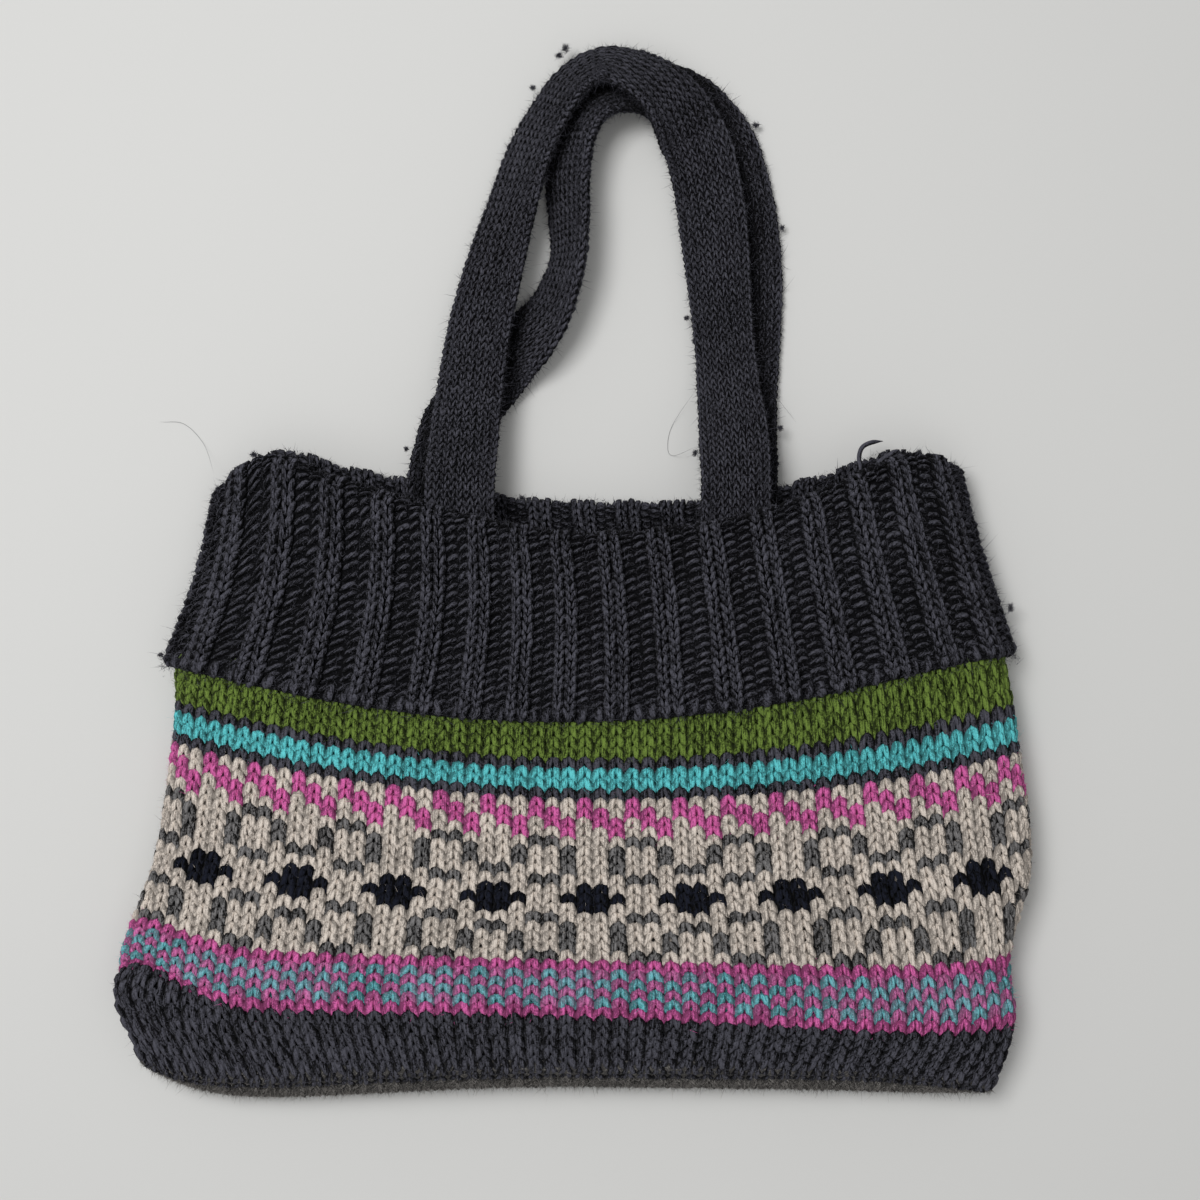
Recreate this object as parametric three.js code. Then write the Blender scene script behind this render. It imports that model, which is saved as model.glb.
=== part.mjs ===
import * as THREE from 'three';

// Knit shoulder bag lying on its back, front panel up, mouth towards +Y.
// Millimetres, +Z up, the table at z = 0, origin under the middle of the laid-out bag.

// Middle of the laid-out bag in the tables below, taken to the origin
const MIDDLE = { x: 0.4, y: 0.02 };

// Knit thicknesses and seams
const WALL = 4.6;
const LAYER_GAP = 0.5;
const SEAM_GAP = 0.35;
const UPRIGHT_INSET = WALL + LAYER_GAP;

// Points round the bag; half lie on the front and half on the back.
// The cuff has one for each column of its two-and-two rib.
const BODY_COLUMNS = 60;
const RIB_COLUMNS = 136;
const RIB_PERIOD = 4;
const RIB_DEPTH = 1.7;
const HEM_ROUND = 1.3;

// Cross-section: how square the front dome and the flattened back are
const FRONT_POWER = 2.4;
const BACK_POWER = 4.6;
const BACK_PRESS = 1.05;
const CORNER_POWER = 8;

// Rounded ear beside each corner: its place and width as shares of the half width
const EAR_PLACE = 0.85;
const EAR_WIDTH = 0.1;

// Samples along half a section
const SECTION_SAMPLES = 320;

// Rows of stitches counted down from the cuff hem; the cuff counts up from it
const FOLD_ROW = 18.6;
const SLOT_ROW = 17.6;
const JOIN_ROW = 2;
const FOLD_RISE = 4.9;

// One ring of the cuff's outer face per row: left and right reach, lowest and highest z,
// z of the side fold, y at the middle of the front, its slope, its rise towards the sides
// with the power of that rise on each side, the lift of each corner and of the ear beside it,
// the shift of the back's middle and how widely that shift spreads.
const CUFF_RINGS = [
  { row: 0, left: -168.2, right: 182.2, low: 0, top: 50, fold: 18, y: -59.5, slope: 3.7, arch: 28.2,
    bendL: 2, bendR: 2, cornerL: -3.5, cornerR: -6.5, earL: 0, earR: 0, back: 24, spread: 2 },
  { row: 10, left: -154.8, right: 168.6, low: 0, top: 47, fold: 17, y: -21.5, slope: 4.5, arch: 33,
    bendL: 1.7, bendR: 2.2, cornerL: -9, cornerR: -9, earL: 2, earR: 1, back: 19, spread: 1.6 },
  { row: 20, left: -147.4, right: 159.2, low: 0, top: 42, fold: 16, y: 15, slope: 4.9, arch: 50,
    bendL: 1.4, bendR: 2.5, cornerL: -27, cornerR: -27, earL: 6.5, earR: 3, back: 13, spread: 1.2 },
];

// The same for the body below the cuff hem, down to the base edge
const BODY_RINGS = [
  { row: 6, left: -163.8, right: 182.6, low: 1, top: 46.5, fold: 18, y: -84.4, slope: -1.9, arch: 20.2,
    bendL: 2, bendR: 2, cornerL: 0, cornerR: 0, earL: 0, earR: 0, back: 16, spread: 2 },
  { row: 18.5, left: -172, right: 188.4, low: 0, top: 48, fold: 18, y: -131.7, slope: -2, arch: 11.6,
    bendL: 2, bendR: 2, cornerL: 0, cornerR: 0, earL: 0, earR: 0, back: 7, spread: 2 },
  { row: 25, left: -182.5, right: 180, low: 0, top: 47.5, fold: 18, y: -155.9, slope: -4.5, arch: -1,
    bendL: 2, bendR: 2, cornerL: 4.5, cornerR: 4, earL: 0, earR: 0, back: -1, spread: 3 },
  { row: 31, left: -187.6, right: 181.8, low: 0, top: 45.5, fold: 18, y: -178.2, slope: -6, arch: -7,
    bendL: 2, bendR: 2, cornerL: 8, cornerR: 5, earL: 0, earR: 0, back: -7, spread: 5 },
  { row: 36, left: -178.6, right: 176.4, low: 1.2, top: 38, fold: 17, y: -200.4, slope: -2, arch: -12,
    bendL: 1.5, bendR: 6.5, cornerL: 9, cornerR: -3.5, earL: 0, earR: 0, back: -14, spread: 8 },
];
const BODY_ROWS_OUT = [-2, 0, 3, 6, 12, 18.5, 25, 31, 34, 36];
const BODY_ROWS_IN = [36, 31, 25, 18.5, 12, 6, 0, -2];

// Base gusset: sewn inside the tube's lower edge, swelling outwards
const GUSSET_INSET = WALL + 0.4;
const GUSSET_SWELL = 2;
const GUSSET_STEPS = 3;

// Straps: flat knitted tubes; level is the height of what lies under them,
// tilt raises the inner edge of the loop
const STRAP_WIDTH = 30;
const STRAP_THICK = 6;
const STRAP_SIDES = 12;
const STRAP_POWER = 3;
const STRAP_STEPS = 58;
const STRAP_FRONT = [
  { x: -45.8, y: -6, level: 25.5, tilt: 0 },
  { x: -45.8, y: 17.6, level: 25.6, tilt: 0 },
  { x: -45.8, y: 36, level: 25.5, tilt: 0 },
  { x: -44.5, y: 52, level: 20, tilt: 5 },
  { x: -42.8, y: 69.3, level: 13.5, tilt: 12 },
  { x: -38.3, y: 100.6, level: 8, tilt: 22 },
  { x: -32.3, y: 126, level: 4, tilt: 30 },
  { x: -24.9, y: 151.5, level: 1, tilt: 42 },
  { x: -16.9, y: 175.4, level: 0, tilt: 48 },
  { x: -6, y: 194.4, level: 0, tilt: 52 },
  { x: 2, y: 203.8, level: 0.5, tilt: 53 },
  { x: 13.9, y: 208.6, level: 3, tilt: 51 },
  { x: 27.6, y: 203.4, level: 9, tilt: 39 },
  { x: 40, y: 194, level: 9, tilt: 26 },
  { x: 51.4, y: 176.7, level: 7.4, tilt: 11 },
  { x: 55.9, y: 158.1, level: 6.8, tilt: 4 },
  { x: 58.8, y: 138.2, level: 6.8, tilt: 2 },
  { x: 63, y: 100.9, level: 7, tilt: 4 },
  { x: 65, y: 76, level: 11, tilt: 2 },
  { x: 65.9, y: 57.4, level: 18, tilt: 2 },
  { x: 66.4, y: 38, level: 25, tilt: 0 },
  { x: 66.3, y: 20, level: 25.6, tilt: 0 },
  { x: 66.2, y: -6, level: 25.5, tilt: 0 },
];
const STRAP_BACK = [
  { x: -55, y: -8, level: 10.2, tilt: 0 },
  { x: -55, y: 16, level: 10.3, tilt: 0 },
  { x: -54.8, y: 33, level: 10.6, tilt: 0 },
  { x: -52.3, y: 48, level: 5.5, tilt: 2 },
  { x: -47.8, y: 62.6, level: 1, tilt: 5 },
  { x: -29, y: 86.6, level: 0, tilt: 10 },
  { x: -17.6, y: 97, level: 0, tilt: 30 },
  { x: -9, y: 108.5, level: 0, tilt: 48 },
  { x: -2, y: 128, level: 0, tilt: 60 },
  { x: -1, y: 146, level: 0, tilt: 59 },
  { x: -1.4, y: 163, level: 0, tilt: 55 },
  { x: 0.4, y: 179.3, level: 0, tilt: 51 },
  { x: 7.4, y: 191.2, level: 0, tilt: 50 },
  { x: 17.5, y: 196.8, level: 0, tilt: 46 },
  { x: 33, y: 199, level: 0, tilt: 20 },
  { x: 48.7, y: 193.5, level: 0, tilt: 5 },
  { x: 62, y: 178.1, level: 0, tilt: 0 },
  { x: 68.3, y: 159.3, level: 0, tilt: 0 },
  { x: 72, y: 139.3, level: 0, tilt: 0 },
  { x: 73.3, y: 114.7, level: 0, tilt: 0 },
  { x: 71.2, y: 76.3, level: 0.4, tilt: 0 },
  { x: 70.6, y: 58, level: 4, tilt: 0 },
  { x: 70.4, y: 42, level: 10, tilt: 0 },
  { x: 70.4, y: 25, level: 10.3, tilt: 0 },
  { x: 70.4, y: -8, level: 10.2, tilt: 0 },
];

const CHARCOAL = { name: 'charcoal_knit', color: 0x3a3a3f };
const PATTERNED = { name: 'patterned_knit', color: 0xa89a94 };

// Smooth curve through one column of a table, placed by another column
function along(table, axis, key, at) {
  const last = table.length - 1;
  let i = 0;
  while (i < last - 1 && at > table[i + 1][axis]) i += 1;
  const slope = (k) => {
    const a = table[Math.max(k - 1, 0)];
    const b = table[Math.min(k + 1, last)];
    return (b[key] - a[key]) / (b[axis] - a[axis]);
  };
  const p = table[i];
  const q = table[i + 1];
  const span = q[axis] - p[axis];
  const u = (at - p[axis]) / span;
  const rise = (1 + 2 * u) * (1 - u) * (1 - u);
  const fall = u * u * (3 - 2 * u);
  const into = u * (1 - u) * (1 - u) * span;
  const out = u * u * (u - 1) * span;
  return p[key] * rise + q[key] * fall + slope(i) * into + slope(i + 1) * out;
}

function ringAt(table, row) {
  const ring = { row };
  for (const key of Object.keys(table[0])) {
    if (key !== 'row') ring[key] = along(table, 'row', key, row);
  }
  return ring;
}

function inset(ring, depth) {
  return {
    ...ring,
    left: ring.left + depth,
    right: ring.right - depth,
    low: ring.low + depth,
    top: ring.top - depth,
  };
}

// The body's top edge stands inside the cuff flap, so its first rings are taken from the cuff
const BODY = [
  { ...inset(ringAt(CUFF_RINGS, JOIN_ROW), UPRIGHT_INSET), row: -JOIN_ROW },
  { ...inset(ringAt(CUFF_RINGS, 0), UPRIGHT_INSET), row: 0 },
  ...BODY_RINGS,
];

function rowY(ring, t, onBack) {
  const side = Math.abs(t);
  const bend = t < 0 ? ring.bendL : ring.bendR;
  const lift = t < 0 ? ring.cornerL : ring.cornerR;
  const ear = t < 0 ? ring.earL : ring.earR;
  const bump = ear * Math.exp(-(((side - EAR_PLACE) / EAR_WIDTH) ** 2));
  const front = ring.y + ring.slope * t + ring.arch * side ** bend + lift * side ** CORNER_POWER + bump;
  return onBack ? front + ring.back * (1 - side ** ring.spread) : front;
}

function sectionPoint(ring, angle, onBack) {
  const c = Math.cos(angle);
  const s = Math.sin(angle);
  const power = 2 / (onBack ? BACK_POWER : FRONT_POWER);
  const t = -Math.sign(c) * Math.abs(c) ** power * (onBack ? -1 : 1);
  const swell = Math.abs(s) ** power;
  const x = (ring.left + ring.right) / 2 + ((ring.right - ring.left) / 2) * t;
  let z = ring.fold + (ring.top - ring.fold) * swell;
  if (onBack) z = Math.max(ring.low, ring.fold - (ring.fold - ring.low) * BACK_PRESS * swell);
  return new THREE.Vector3(x, rowY(ring, t, onBack), z);
}

// Evenly spaced points round one ring: left fold, over the front, right fold, under the back
function ringPoints(ring, count) {
  const points = [];
  for (const onBack of [false, true]) {
    const fine = [];
    const length = [0];
    for (let i = 0; i <= SECTION_SAMPLES; i += 1) {
      fine.push(sectionPoint(ring, (Math.PI * i) / SECTION_SAMPLES, onBack));
      if (i > 0) length.push(length[i - 1] + fine[i].distanceTo(fine[i - 1]));
    }
    let i = 0;
    for (let k = 0; k < count / 2; k += 1) {
      const want = (length[SECTION_SAMPLES] * k) / (count / 2);
      while (length[i + 1] < want) i += 1;
      const u = (want - length[i]) / (length[i + 1] - length[i]);
      points.push(fine[i].clone().lerp(fine[i + 1], u));
    }
  }
  return points;
}

// Share of the rib's depth at one point of the cuff: none on the crest, all in the trough
function ribShare(k) {
  return (1 - Math.cos((2 * Math.PI * k) / RIB_PERIOD)) / 2;
}

function meshFrom(name, vertices, triangles, material) {
  const geometry = new THREE.BufferGeometry();
  const flat = vertices.flatMap((v) => [v.x - MIDDLE.x, v.y - MIDDLE.y, v.z]);
  geometry.setAttribute('position', new THREE.Float32BufferAttribute(flat, 3));
  geometry.setIndex(triangles);
  geometry.computeVertexNormals();
  const mesh = new THREE.Mesh(geometry, material);
  mesh.name = name;
  return mesh;
}

// A ring-shaped solid: loops of equal length, the last joined back to the first
function hoop(name, loops, material) {
  const count = loops[0].length;
  const triangles = [];
  for (let j = 0; j < loops.length; j += 1) {
    const here = j * count;
    const next = ((j + 1) % loops.length) * count;
    for (let k = 0; k < count; k += 1) {
      const m = (k + 1) % count;
      triangles.push(here + k, here + m, next + k);
      triangles.push(here + m, next + m, next + k);
    }
  }
  return meshFrom(name, loops.flat(), triangles, material);
}

// A bar: loops along a path, closed with a fan at each end
function bar(name, loops, material) {
  const count = loops[0].length;
  const vertices = loops.flat();
  const triangles = [];
  for (let j = 0; j < loops.length - 1; j += 1) {
    for (let k = 0; k < count; k += 1) {
      const m = (k + 1) % count;
      const here = j * count;
      const next = here + count;
      triangles.push(here + k, here + m, next + k);
      triangles.push(here + m, next + m, next + k);
    }
  }
  const ends = [loops[0], loops[loops.length - 1]];
  ends.forEach((loop, side) => {
    const middle = vertices.length;
    const start = side === 0 ? 0 : (loops.length - 1) * count;
    const centre = loop.reduce((sum, v) => sum.add(v), new THREE.Vector3());
    vertices.push(centre.divideScalar(count));
    for (let k = 0; k < count; k += 1) {
      const m = (k + 1) % count;
      if (side === 0) triangles.push(middle, start + m, start + k);
      else triangles.push(middle, start + k, start + m);
    }
  });
  return meshFrom(name, vertices, triangles, material);
}

function bodyTube(material) {
  const outer = BODY_ROWS_OUT.map((row) => ringPoints(ringAt(BODY, row), BODY_COLUMNS));
  const inner = BODY_ROWS_IN.map((row) => ringPoints(inset(ringAt(BODY, row), WALL), BODY_COLUMNS));
  return hoop('body', [...outer, ...inner].reverse(), material);
}

// One loop of the cuff: a row, how deep under the outer face, how far beyond it in y,
// and how much of the rib shows there
function cuffLoop({ row, depth, rise, rib }) {
  const ring = ringAt(CUFF_RINGS, row);
  const plain = ringPoints(inset(ring, depth), RIB_COLUMNS);
  const sunk = ringPoints(inset(ring, depth + RIB_DEPTH), RIB_COLUMNS);
  return plain.map((v, k) => {
    const point = v.clone().lerp(sunk[k], rib * ribShare(k));
    point.y += rise;
    return point;
  });
}

function ribCuff(material) {
  const inner = UPRIGHT_INSET + WALL;
  const profile = [
    { row: 0, depth: HEM_ROUND, rise: -HEM_ROUND, rib: 0.6 },
    { row: 0.5, depth: 0, rise: 0, rib: 0.8 },
    { row: 5, depth: 0, rise: 0, rib: 1 },
    { row: 10, depth: 0, rise: 0, rib: 1 },
    { row: 15, depth: 0, rise: 0, rib: 1 },
    { row: FOLD_ROW, depth: 0, rise: 0, rib: 1 },
    { row: FOLD_ROW, depth: inner * 0.16, rise: FOLD_RISE * 0.72, rib: 0.8 },
    { row: FOLD_ROW, depth: inner * 0.5, rise: FOLD_RISE, rib: 0.4 },
    { row: FOLD_ROW, depth: inner * 0.84, rise: FOLD_RISE * 0.72, rib: 0 },
    { row: FOLD_ROW, depth: inner, rise: 0, rib: 0 },
    { row: 11, depth: inner, rise: 0, rib: 0 },
    { row: JOIN_ROW, depth: inner, rise: SEAM_GAP, rib: 0 },
    { row: JOIN_ROW, depth: UPRIGHT_INSET, rise: SEAM_GAP, rib: 0 },
    { row: SLOT_ROW, depth: UPRIGHT_INSET, rise: 0, rib: 0 },
    { row: SLOT_ROW, depth: WALL, rise: 0, rib: 0 },
    { row: 9, depth: WALL, rise: 0, rib: 0 },
    { row: 0, depth: WALL, rise: -HEM_ROUND, rib: 0 },
  ];
  return hoop('rib_cuff', profile.map(cuffLoop), material);
}

// The bottom panel: a strip from the front's lower edge to the back's, swelling a little outwards
function baseGusset(material) {
  const edge = ringPoints(inset(ringAt(BODY, 36), GUSSET_INSET), BODY_COLUMNS);
  const half = BODY_COLUMNS / 2;
  const vertices = [];
  const index = [[], []];
  [0, 1].forEach((face) => {
    for (let k = 0; k <= half; k += 1) {
      const front = edge[k];
      const back = edge[(BODY_COLUMNS - k) % BODY_COLUMNS];
      const tip = k === 0 || k === half;
      const column = [];
      for (let j = 0; j <= GUSSET_STEPS; j += 1) {
        if (tip && j > 0) {
          column.push(column[0]);
          continue;
        }
        const point = front.clone().lerp(back, tip ? 0 : j / GUSSET_STEPS);
        if (face === 0) point.y += WALL;
        if (face === 1 && j > 0 && j < GUSSET_STEPS && !tip) point.y -= GUSSET_SWELL;
        column.push(vertices.length);
        vertices.push(point);
      }
      index[face].push(column);
    }
  });
  const triangles = [];
  const add = (a, b, c) => {
    if (a !== b && b !== c && c !== a) triangles.push(a, b, c);
  };
  const quad = (a, b, c, d) => {
    add(a, b, c);
    add(a, c, d);
  };
  const [inside, outside] = index;
  for (let k = 0; k < half; k += 1) {
    for (let j = 0; j < GUSSET_STEPS; j += 1) {
      quad(outside[k][j], outside[k][j + 1], outside[k + 1][j + 1], outside[k + 1][j]);
      quad(inside[k][j], inside[k + 1][j], inside[k + 1][j + 1], inside[k][j + 1]);
    }
    quad(inside[k][0], outside[k][0], outside[k + 1][0], inside[k + 1][0]);
    const e = GUSSET_STEPS;
    quad(inside[k][e], inside[k + 1][e], outside[k + 1][e], outside[k][e]);
  }
  return meshFrom('base_gusset', vertices, triangles, material);
}

// A flat strap along its table: each loop is a rounded flat section, tilted about the path
function strap(name, table, material) {
  const rows = table.map((row, i) => ({ ...row, step: i }));
  const at = (key, s) => along(rows, 'step', key, s);
  const halfWide = STRAP_WIDTH / 2;
  const halfThick = STRAP_THICK / 2;
  const centre = (s) => {
    const tilt = THREE.MathUtils.degToRad(at('tilt', s));
    const rest = halfWide * Math.abs(Math.sin(tilt)) + halfThick * Math.cos(tilt);
    return new THREE.Vector3(at('x', s), at('y', s), at('level', s) + rest);
  };
  const up = new THREE.Vector3(0, 0, 1);
  const loops = [];
  for (let i = 0; i <= STRAP_STEPS; i += 1) {
    const s = ((rows.length - 1) * i) / STRAP_STEPS;
    const ahead = centre(Math.min(s + 0.05, rows.length - 1));
    const tangent = ahead.sub(centre(Math.max(s - 0.05, 0))).normalize();
    const outward = up.clone().cross(tangent).normalize();
    const face = tangent.clone().cross(outward).normalize();
    const tilt = THREE.MathUtils.degToRad(at('tilt', s));
    const wide = outward.clone().multiplyScalar(Math.cos(tilt)).addScaledVector(face, -Math.sin(tilt));
    const thick = face.clone().multiplyScalar(Math.cos(tilt)).addScaledVector(outward, Math.sin(tilt));
    const loop = [];
    for (let k = 0; k < STRAP_SIDES; k += 1) {
      const angle = (2 * Math.PI * (k + 0.5)) / STRAP_SIDES;
      const a = Math.cos(angle);
      const b = Math.sin(angle);
      const across = Math.sign(a) * Math.abs(a) ** (2 / STRAP_POWER) * halfWide;
      const over = Math.sign(b) * Math.abs(b) ** (2 / STRAP_POWER) * halfThick;
      loop.push(centre(s).addScaledVector(wide, across).addScaledVector(thick, over));
    }
    loops.push(loop);
  }
  return bar(name, loops, material);
}

const charcoal = new THREE.MeshStandardMaterial({ ...CHARCOAL, roughness: 0.95 });
const patterned = new THREE.MeshStandardMaterial({ ...PATTERNED, roughness: 0.95 });

const bag = new THREE.Group();
bag.name = 'knit_shoulder_bag';
bag.add(bodyTube(patterned));
bag.add(baseGusset(charcoal));
bag.add(ribCuff(charcoal));
bag.add(strap('strap_front', STRAP_FRONT, charcoal));
bag.add(strap('strap_back', STRAP_BACK, charcoal));

export default bag;
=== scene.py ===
"""Knit shoulder bag lying on its back: every stitch is a pair of yarn legs on the bag's curved faces."""

import math

import bpy
import numpy as np
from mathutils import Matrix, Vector


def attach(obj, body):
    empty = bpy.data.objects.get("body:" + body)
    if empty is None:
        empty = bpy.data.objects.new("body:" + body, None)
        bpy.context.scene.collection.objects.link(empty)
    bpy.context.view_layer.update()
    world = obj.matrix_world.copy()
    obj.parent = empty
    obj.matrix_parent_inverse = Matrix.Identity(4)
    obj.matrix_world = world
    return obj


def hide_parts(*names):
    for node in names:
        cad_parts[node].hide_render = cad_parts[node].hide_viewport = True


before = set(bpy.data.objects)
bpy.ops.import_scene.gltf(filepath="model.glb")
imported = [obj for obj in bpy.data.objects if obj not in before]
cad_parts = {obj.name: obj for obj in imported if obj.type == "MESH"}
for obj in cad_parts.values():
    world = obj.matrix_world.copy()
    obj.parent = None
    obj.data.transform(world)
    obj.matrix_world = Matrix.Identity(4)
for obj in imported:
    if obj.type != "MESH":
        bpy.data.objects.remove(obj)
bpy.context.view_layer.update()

bl_info = {
    "name": "Knit Shoulder Bag",
    "version": (1, 0, 0),
    "blender": (4, 5, 0),
    "location": "View3D > Sidebar > Knit Bag",
    "description": "Knits a shoulder bag stitch by stitch round its packed frame and lays it on a pale table",
    "category": "Add Mesh",
}

MM = 0.001
TINY = 1e-12

# Middle of the laid-out bag in the tables below, which are in millimetres
MIDDLE = (0.4, 0.02)

# Depths of the knit's layers, as in the frame: one wall, the flap over the upright layer, and both
WALL = 4.6
UPRIGHT_INSET = WALL + 0.5
CUFF_INNER = UPRIGHT_INSET + WALL

# Rows of the cuff: its fold, the slot behind the flap, and the seam to the body
FOLD_ROW = 18.6
FOLD_ROWS = 4
SLOT_ROW = 17.6
JOIN_ROW = 2
HEM_ROUND = 1.3

# Section of the lying tube: round in front, pressed flat on the table, drawn out at its corners
SECTION_SAMPLES = 320
FRONT_POWER = 2.4
BACK_POWER = 4.6
BACK_PRESS = 1.05
CORNER_POWER = 8
EAR_PLACE = 0.85
EAR_WIDTH = 0.1

# Faces are sampled at every half stitch. Yarn and fabric stay clear of the table, and the fabric under the
# stitches lies a little less deep than they are high.
FINE = 0.5
CLEARANCE = 0.1 * MM
BODY_CLEARANCE = 0.2 * MM
SINK = 0.25
STRAP_SINK = 0.2

# Stitch counts, the cuff's rib, and how its purl stitches lie in the troughs and on the rim, with the painted
# shade they all get
BODY_COLUMNS = 114
CUFF_COLUMNS = 136
RIB_PERIOD = 4
RIB_DEPTH = 1.7
CUFF_ROWS = 32
CUFF_ROW = 0.89
RIB_SQUEEZE = 0.12
RIB_FLATNESS = 2.2
KNIT_LIFT = 1.5
PURL_LIFT = 0.9
PURL_SHADE = 0.3
PURL_SLANT = 1.2
PURL_WANDER = 0.045
HEM_WANDER = 0.07
RIM_LIFT = 1.05
RIM_ROW = 20.6
RIM_REACH = 2.2

# The far layer's lobe right of the straps, in millimetres: where it starts, then its painted shade, the
# painted crease shadow along its edge and that shadow's reach
LOBE_X = (82, 112)
LOBE_Y = (25, 39.5)
LOBE_SHADE = 0.35
LOBE_CREASE_SHADE = 1.2
LOBE_REACH = 2.6

# The gusset: its rows, those that the base's knit runs on over it, its swell, unevenness and depths, and the
# place round the yarn whose painted shade its backing takes
GUSSET_ROWS = 9
GUSSET_KNIT = 2
GUSSET_SWELL = 3.2
GUSSET_UNEVEN = 0.22
GUSSET_FULL = 30
GUSSET_EDGE = 0.6
FELT_DEPTH = 0.6
FELT_LIFT = 0.6
RUN_ON_DEPTH = 1.2
FELT_FLANK = 0.4

# How far the hand knit's ribs stray along the cuff, in columns
DRIFT_COLUMNS = (0, 4, 16, 20, 24, 32, 40, 48, 56, 64, 72, 136)
DRIFT = (0, -0.3, 1.0, 1.3, 1.1, 0, 0, 0.8, 1.3, 1.0, 0, 0)

# Where the chart's middle column runs down the body, how much wider apart columns are at the base,
# and the rows where they start to spread and over which they do
CHART_MIDDLE = 30
MIDDLE_X = 8.4
COLUMN_WIDTH = 6.4
BASE_SPREAD = 1.1
SPREAD_START = 17
SPREAD_ROWS = 9

# Dart at the lower left: face column, reach to its left and right, rows that it swallows and where the
# charted rows start to crowd, then its lobe and its crease: height, rows below the base's edge, reach
BASE_ROW = 31
LAST_ROW = 36
DART_COLUMN = 2.2
DART_LEFT = 2.2
DART_RIGHT = 4.2
DART_ROWS = 3
DART_START = 19
DART_FOLDS = ((2.6, 2.4, 1.8), (-3.0, -0.2, 1.1))

# Yarn: plies, turns of twist along one leg, painted shade down its flanks, scales of its noises, how much
# each adds to its colour, the same for another yarn's fibres over it, and how far its heather runs below and
# above
PLIES = 4
TWIST = 0.55
FLANK_SHADE = 1.15
FLANK_TURN = 0.07
FIBRE_SCALES = (10, 2.2, 90)
GRAIN_SCALE = 1300
PATCH_SCALE = 38
PATCH_SHARE, TONE_SHARE, GRAIN_SHARE, STREAK_SHARE, LEVEL_ZERO = 0.4, 0.40, 1.8, 2.2, 1.65
VEIL_GRAIN, VEIL_PATCH, VEIL_ZERO = 1.6, 0.9, 0.95
HEATHER = {
    "green": (0.22, 1.9), "turquoise": (0.42, 1.50), "pink": (0.45, 1.55), "ecru": (0.50, 1.38),
    "grey": (0.12, 3.4), "black": (0.15, 7.0), "charcoal": (0.10, 2.9), "ash": (0.3, 2.0),
}

# Rings of the tube from the cuff's hem up and from the body's top down
RING_KEYS = (
    "row left right low top fold y slope arch bendL bendR cornerL cornerR earL earR back spread"
).split()
CUFF_RINGS = (
    (0, -168.2, 182.2, 0, 50, 18, -59.5, 3.7, 28.2, 2, 2, -3.5, -6.5, 0, 0, 24, 2),
    (10, -154.8, 168.6, 0, 47, 17, -21.5, 4.5, 33, 1.7, 2.2, -9, -9, 2, 1, 19, 1.6),
    (20, -147.4, 159.2, 0, 42, 16, 15, 4.9, 50, 1.4, 2.5, -27, -27, 6.5, 3, 13, 1.2),
)
BODY_RINGS = (
    (6, -163.8, 182.6, 1, 46.5, 18, -84.4, -1.9, 20.2, 2, 2, 0, 0, 0, 0, 16, 2),
    (18.5, -172, 188.4, 0, 48, 18, -131.7, -2, 11.6, 2, 2, 0, 0, 0, 0, 7, 2),
    (25, -182.5, 180, 0, 47.5, 18, -155.9, -4.5, -1, 2, 2, 4.5, 4, 0, 0, -1, 3),
    (31, -187.6, 181.8, 0, 45.5, 18, -178.2, -6, -7, 2, 2, 8, 5, 0, 0, -7, 5),
    (36, -178.6, 173.2, 1.2, 38, 17, -200.4, -2, -12, 1.5, 6.5, 9, 0.8, 0, 0, -14, 8),
)

# Straps: stitches round and the length of a row, the section, then by strap the path, height of what lies
# under, tilt in degrees that raises the loop's inner edge, and half width
STRAP_COLUMNS = 18
STRAP_ROW = 3.15
STRAP_WIDE = 15
STRAP_HALF_THICK = 3
STRAP_POWER = 3
STRAP_SAMPLES = 900
STRAP_ROUND = 721
STRAP_KEYS = "x y level tilt wide".split()
STRAP_FRONT = (
    (-45.8, -6, 25.5, 0, 15), (-45.8, 17.6, 25.6, 0, 15), (-45.8, 36, 25.5, 0, 15),
    (-44.5, 52, 20, 5, 15), (-42.8, 69.3, 13.5, 12, 15), (-38.3, 100.6, 8, 22, 15), (-32.3, 126, 4, 30, 15),
    (-24.9, 151.5, 1, 42, 15), (-16.9, 175.4, 0, 48, 15), (-6, 194.4, 0, 52, 15), (2, 203.8, 0.5, 53, 15),
    (13.9, 208.6, 3, 51, 15), (27.6, 203.4, 9, 39, 15), (40, 194, 9, 24, 15), (51.4, 176.7, 5, -4, 15),
    (55.9, 158.1, 3.6, -11, 15), (58.8, 138.2, 3.4, -13, 15), (62.2, 100.9, 3.6, -13, 13.2),
    (64.2, 76, 8, -10, 13.6), (65.9, 57.4, 17, -3, 15), (66.4, 38, 25, 0, 15), (66.3, 20, 25.6, 0, 15),
    (66.2, -6, 25.5, 0, 15),
)
STRAP_BACK = (
    (-55, -8, 10.2, 0, 15), (-55, 16, 10.3, 0, 15), (-54.8, 33, 10.6, 0, 15), (-52.3, 48, 5.5, 2, 15),
    (-47.8, 62.6, 1, 5, 15), (-29, 86.6, 0, 10, 15), (-17.6, 97, 0, 30, 15), (-9, 108.5, 0, 48, 15),
    (-2, 128, 0, 60, 15), (-1.6, 146, 0, 56, 15), (-2.2, 163, 0, 51, 15), (0.4, 179.3, 0, 51, 15),
    (7.4, 191.2, 0, 50, 15), (17.5, 196.8, 0, 46, 15), (33, 199, 0, 20, 15), (48.7, 193.5, 0, 5, 15),
    (62, 178.1, 0, 0, 15), (68.3, 159.3, 0, 0, 15), (72, 139.3, 0, 0, 15), (73.3, 114.7, 0, 0, 15),
    (71.2, 76.3, 0.4, 0, 15), (70.6, 58, 4, 0, 15), (70.4, 42, 10, 0, 15), (70.4, 25, 10.3, 0, 15),
    (70.4, -8, 10.2, 0, 15),
)
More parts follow.
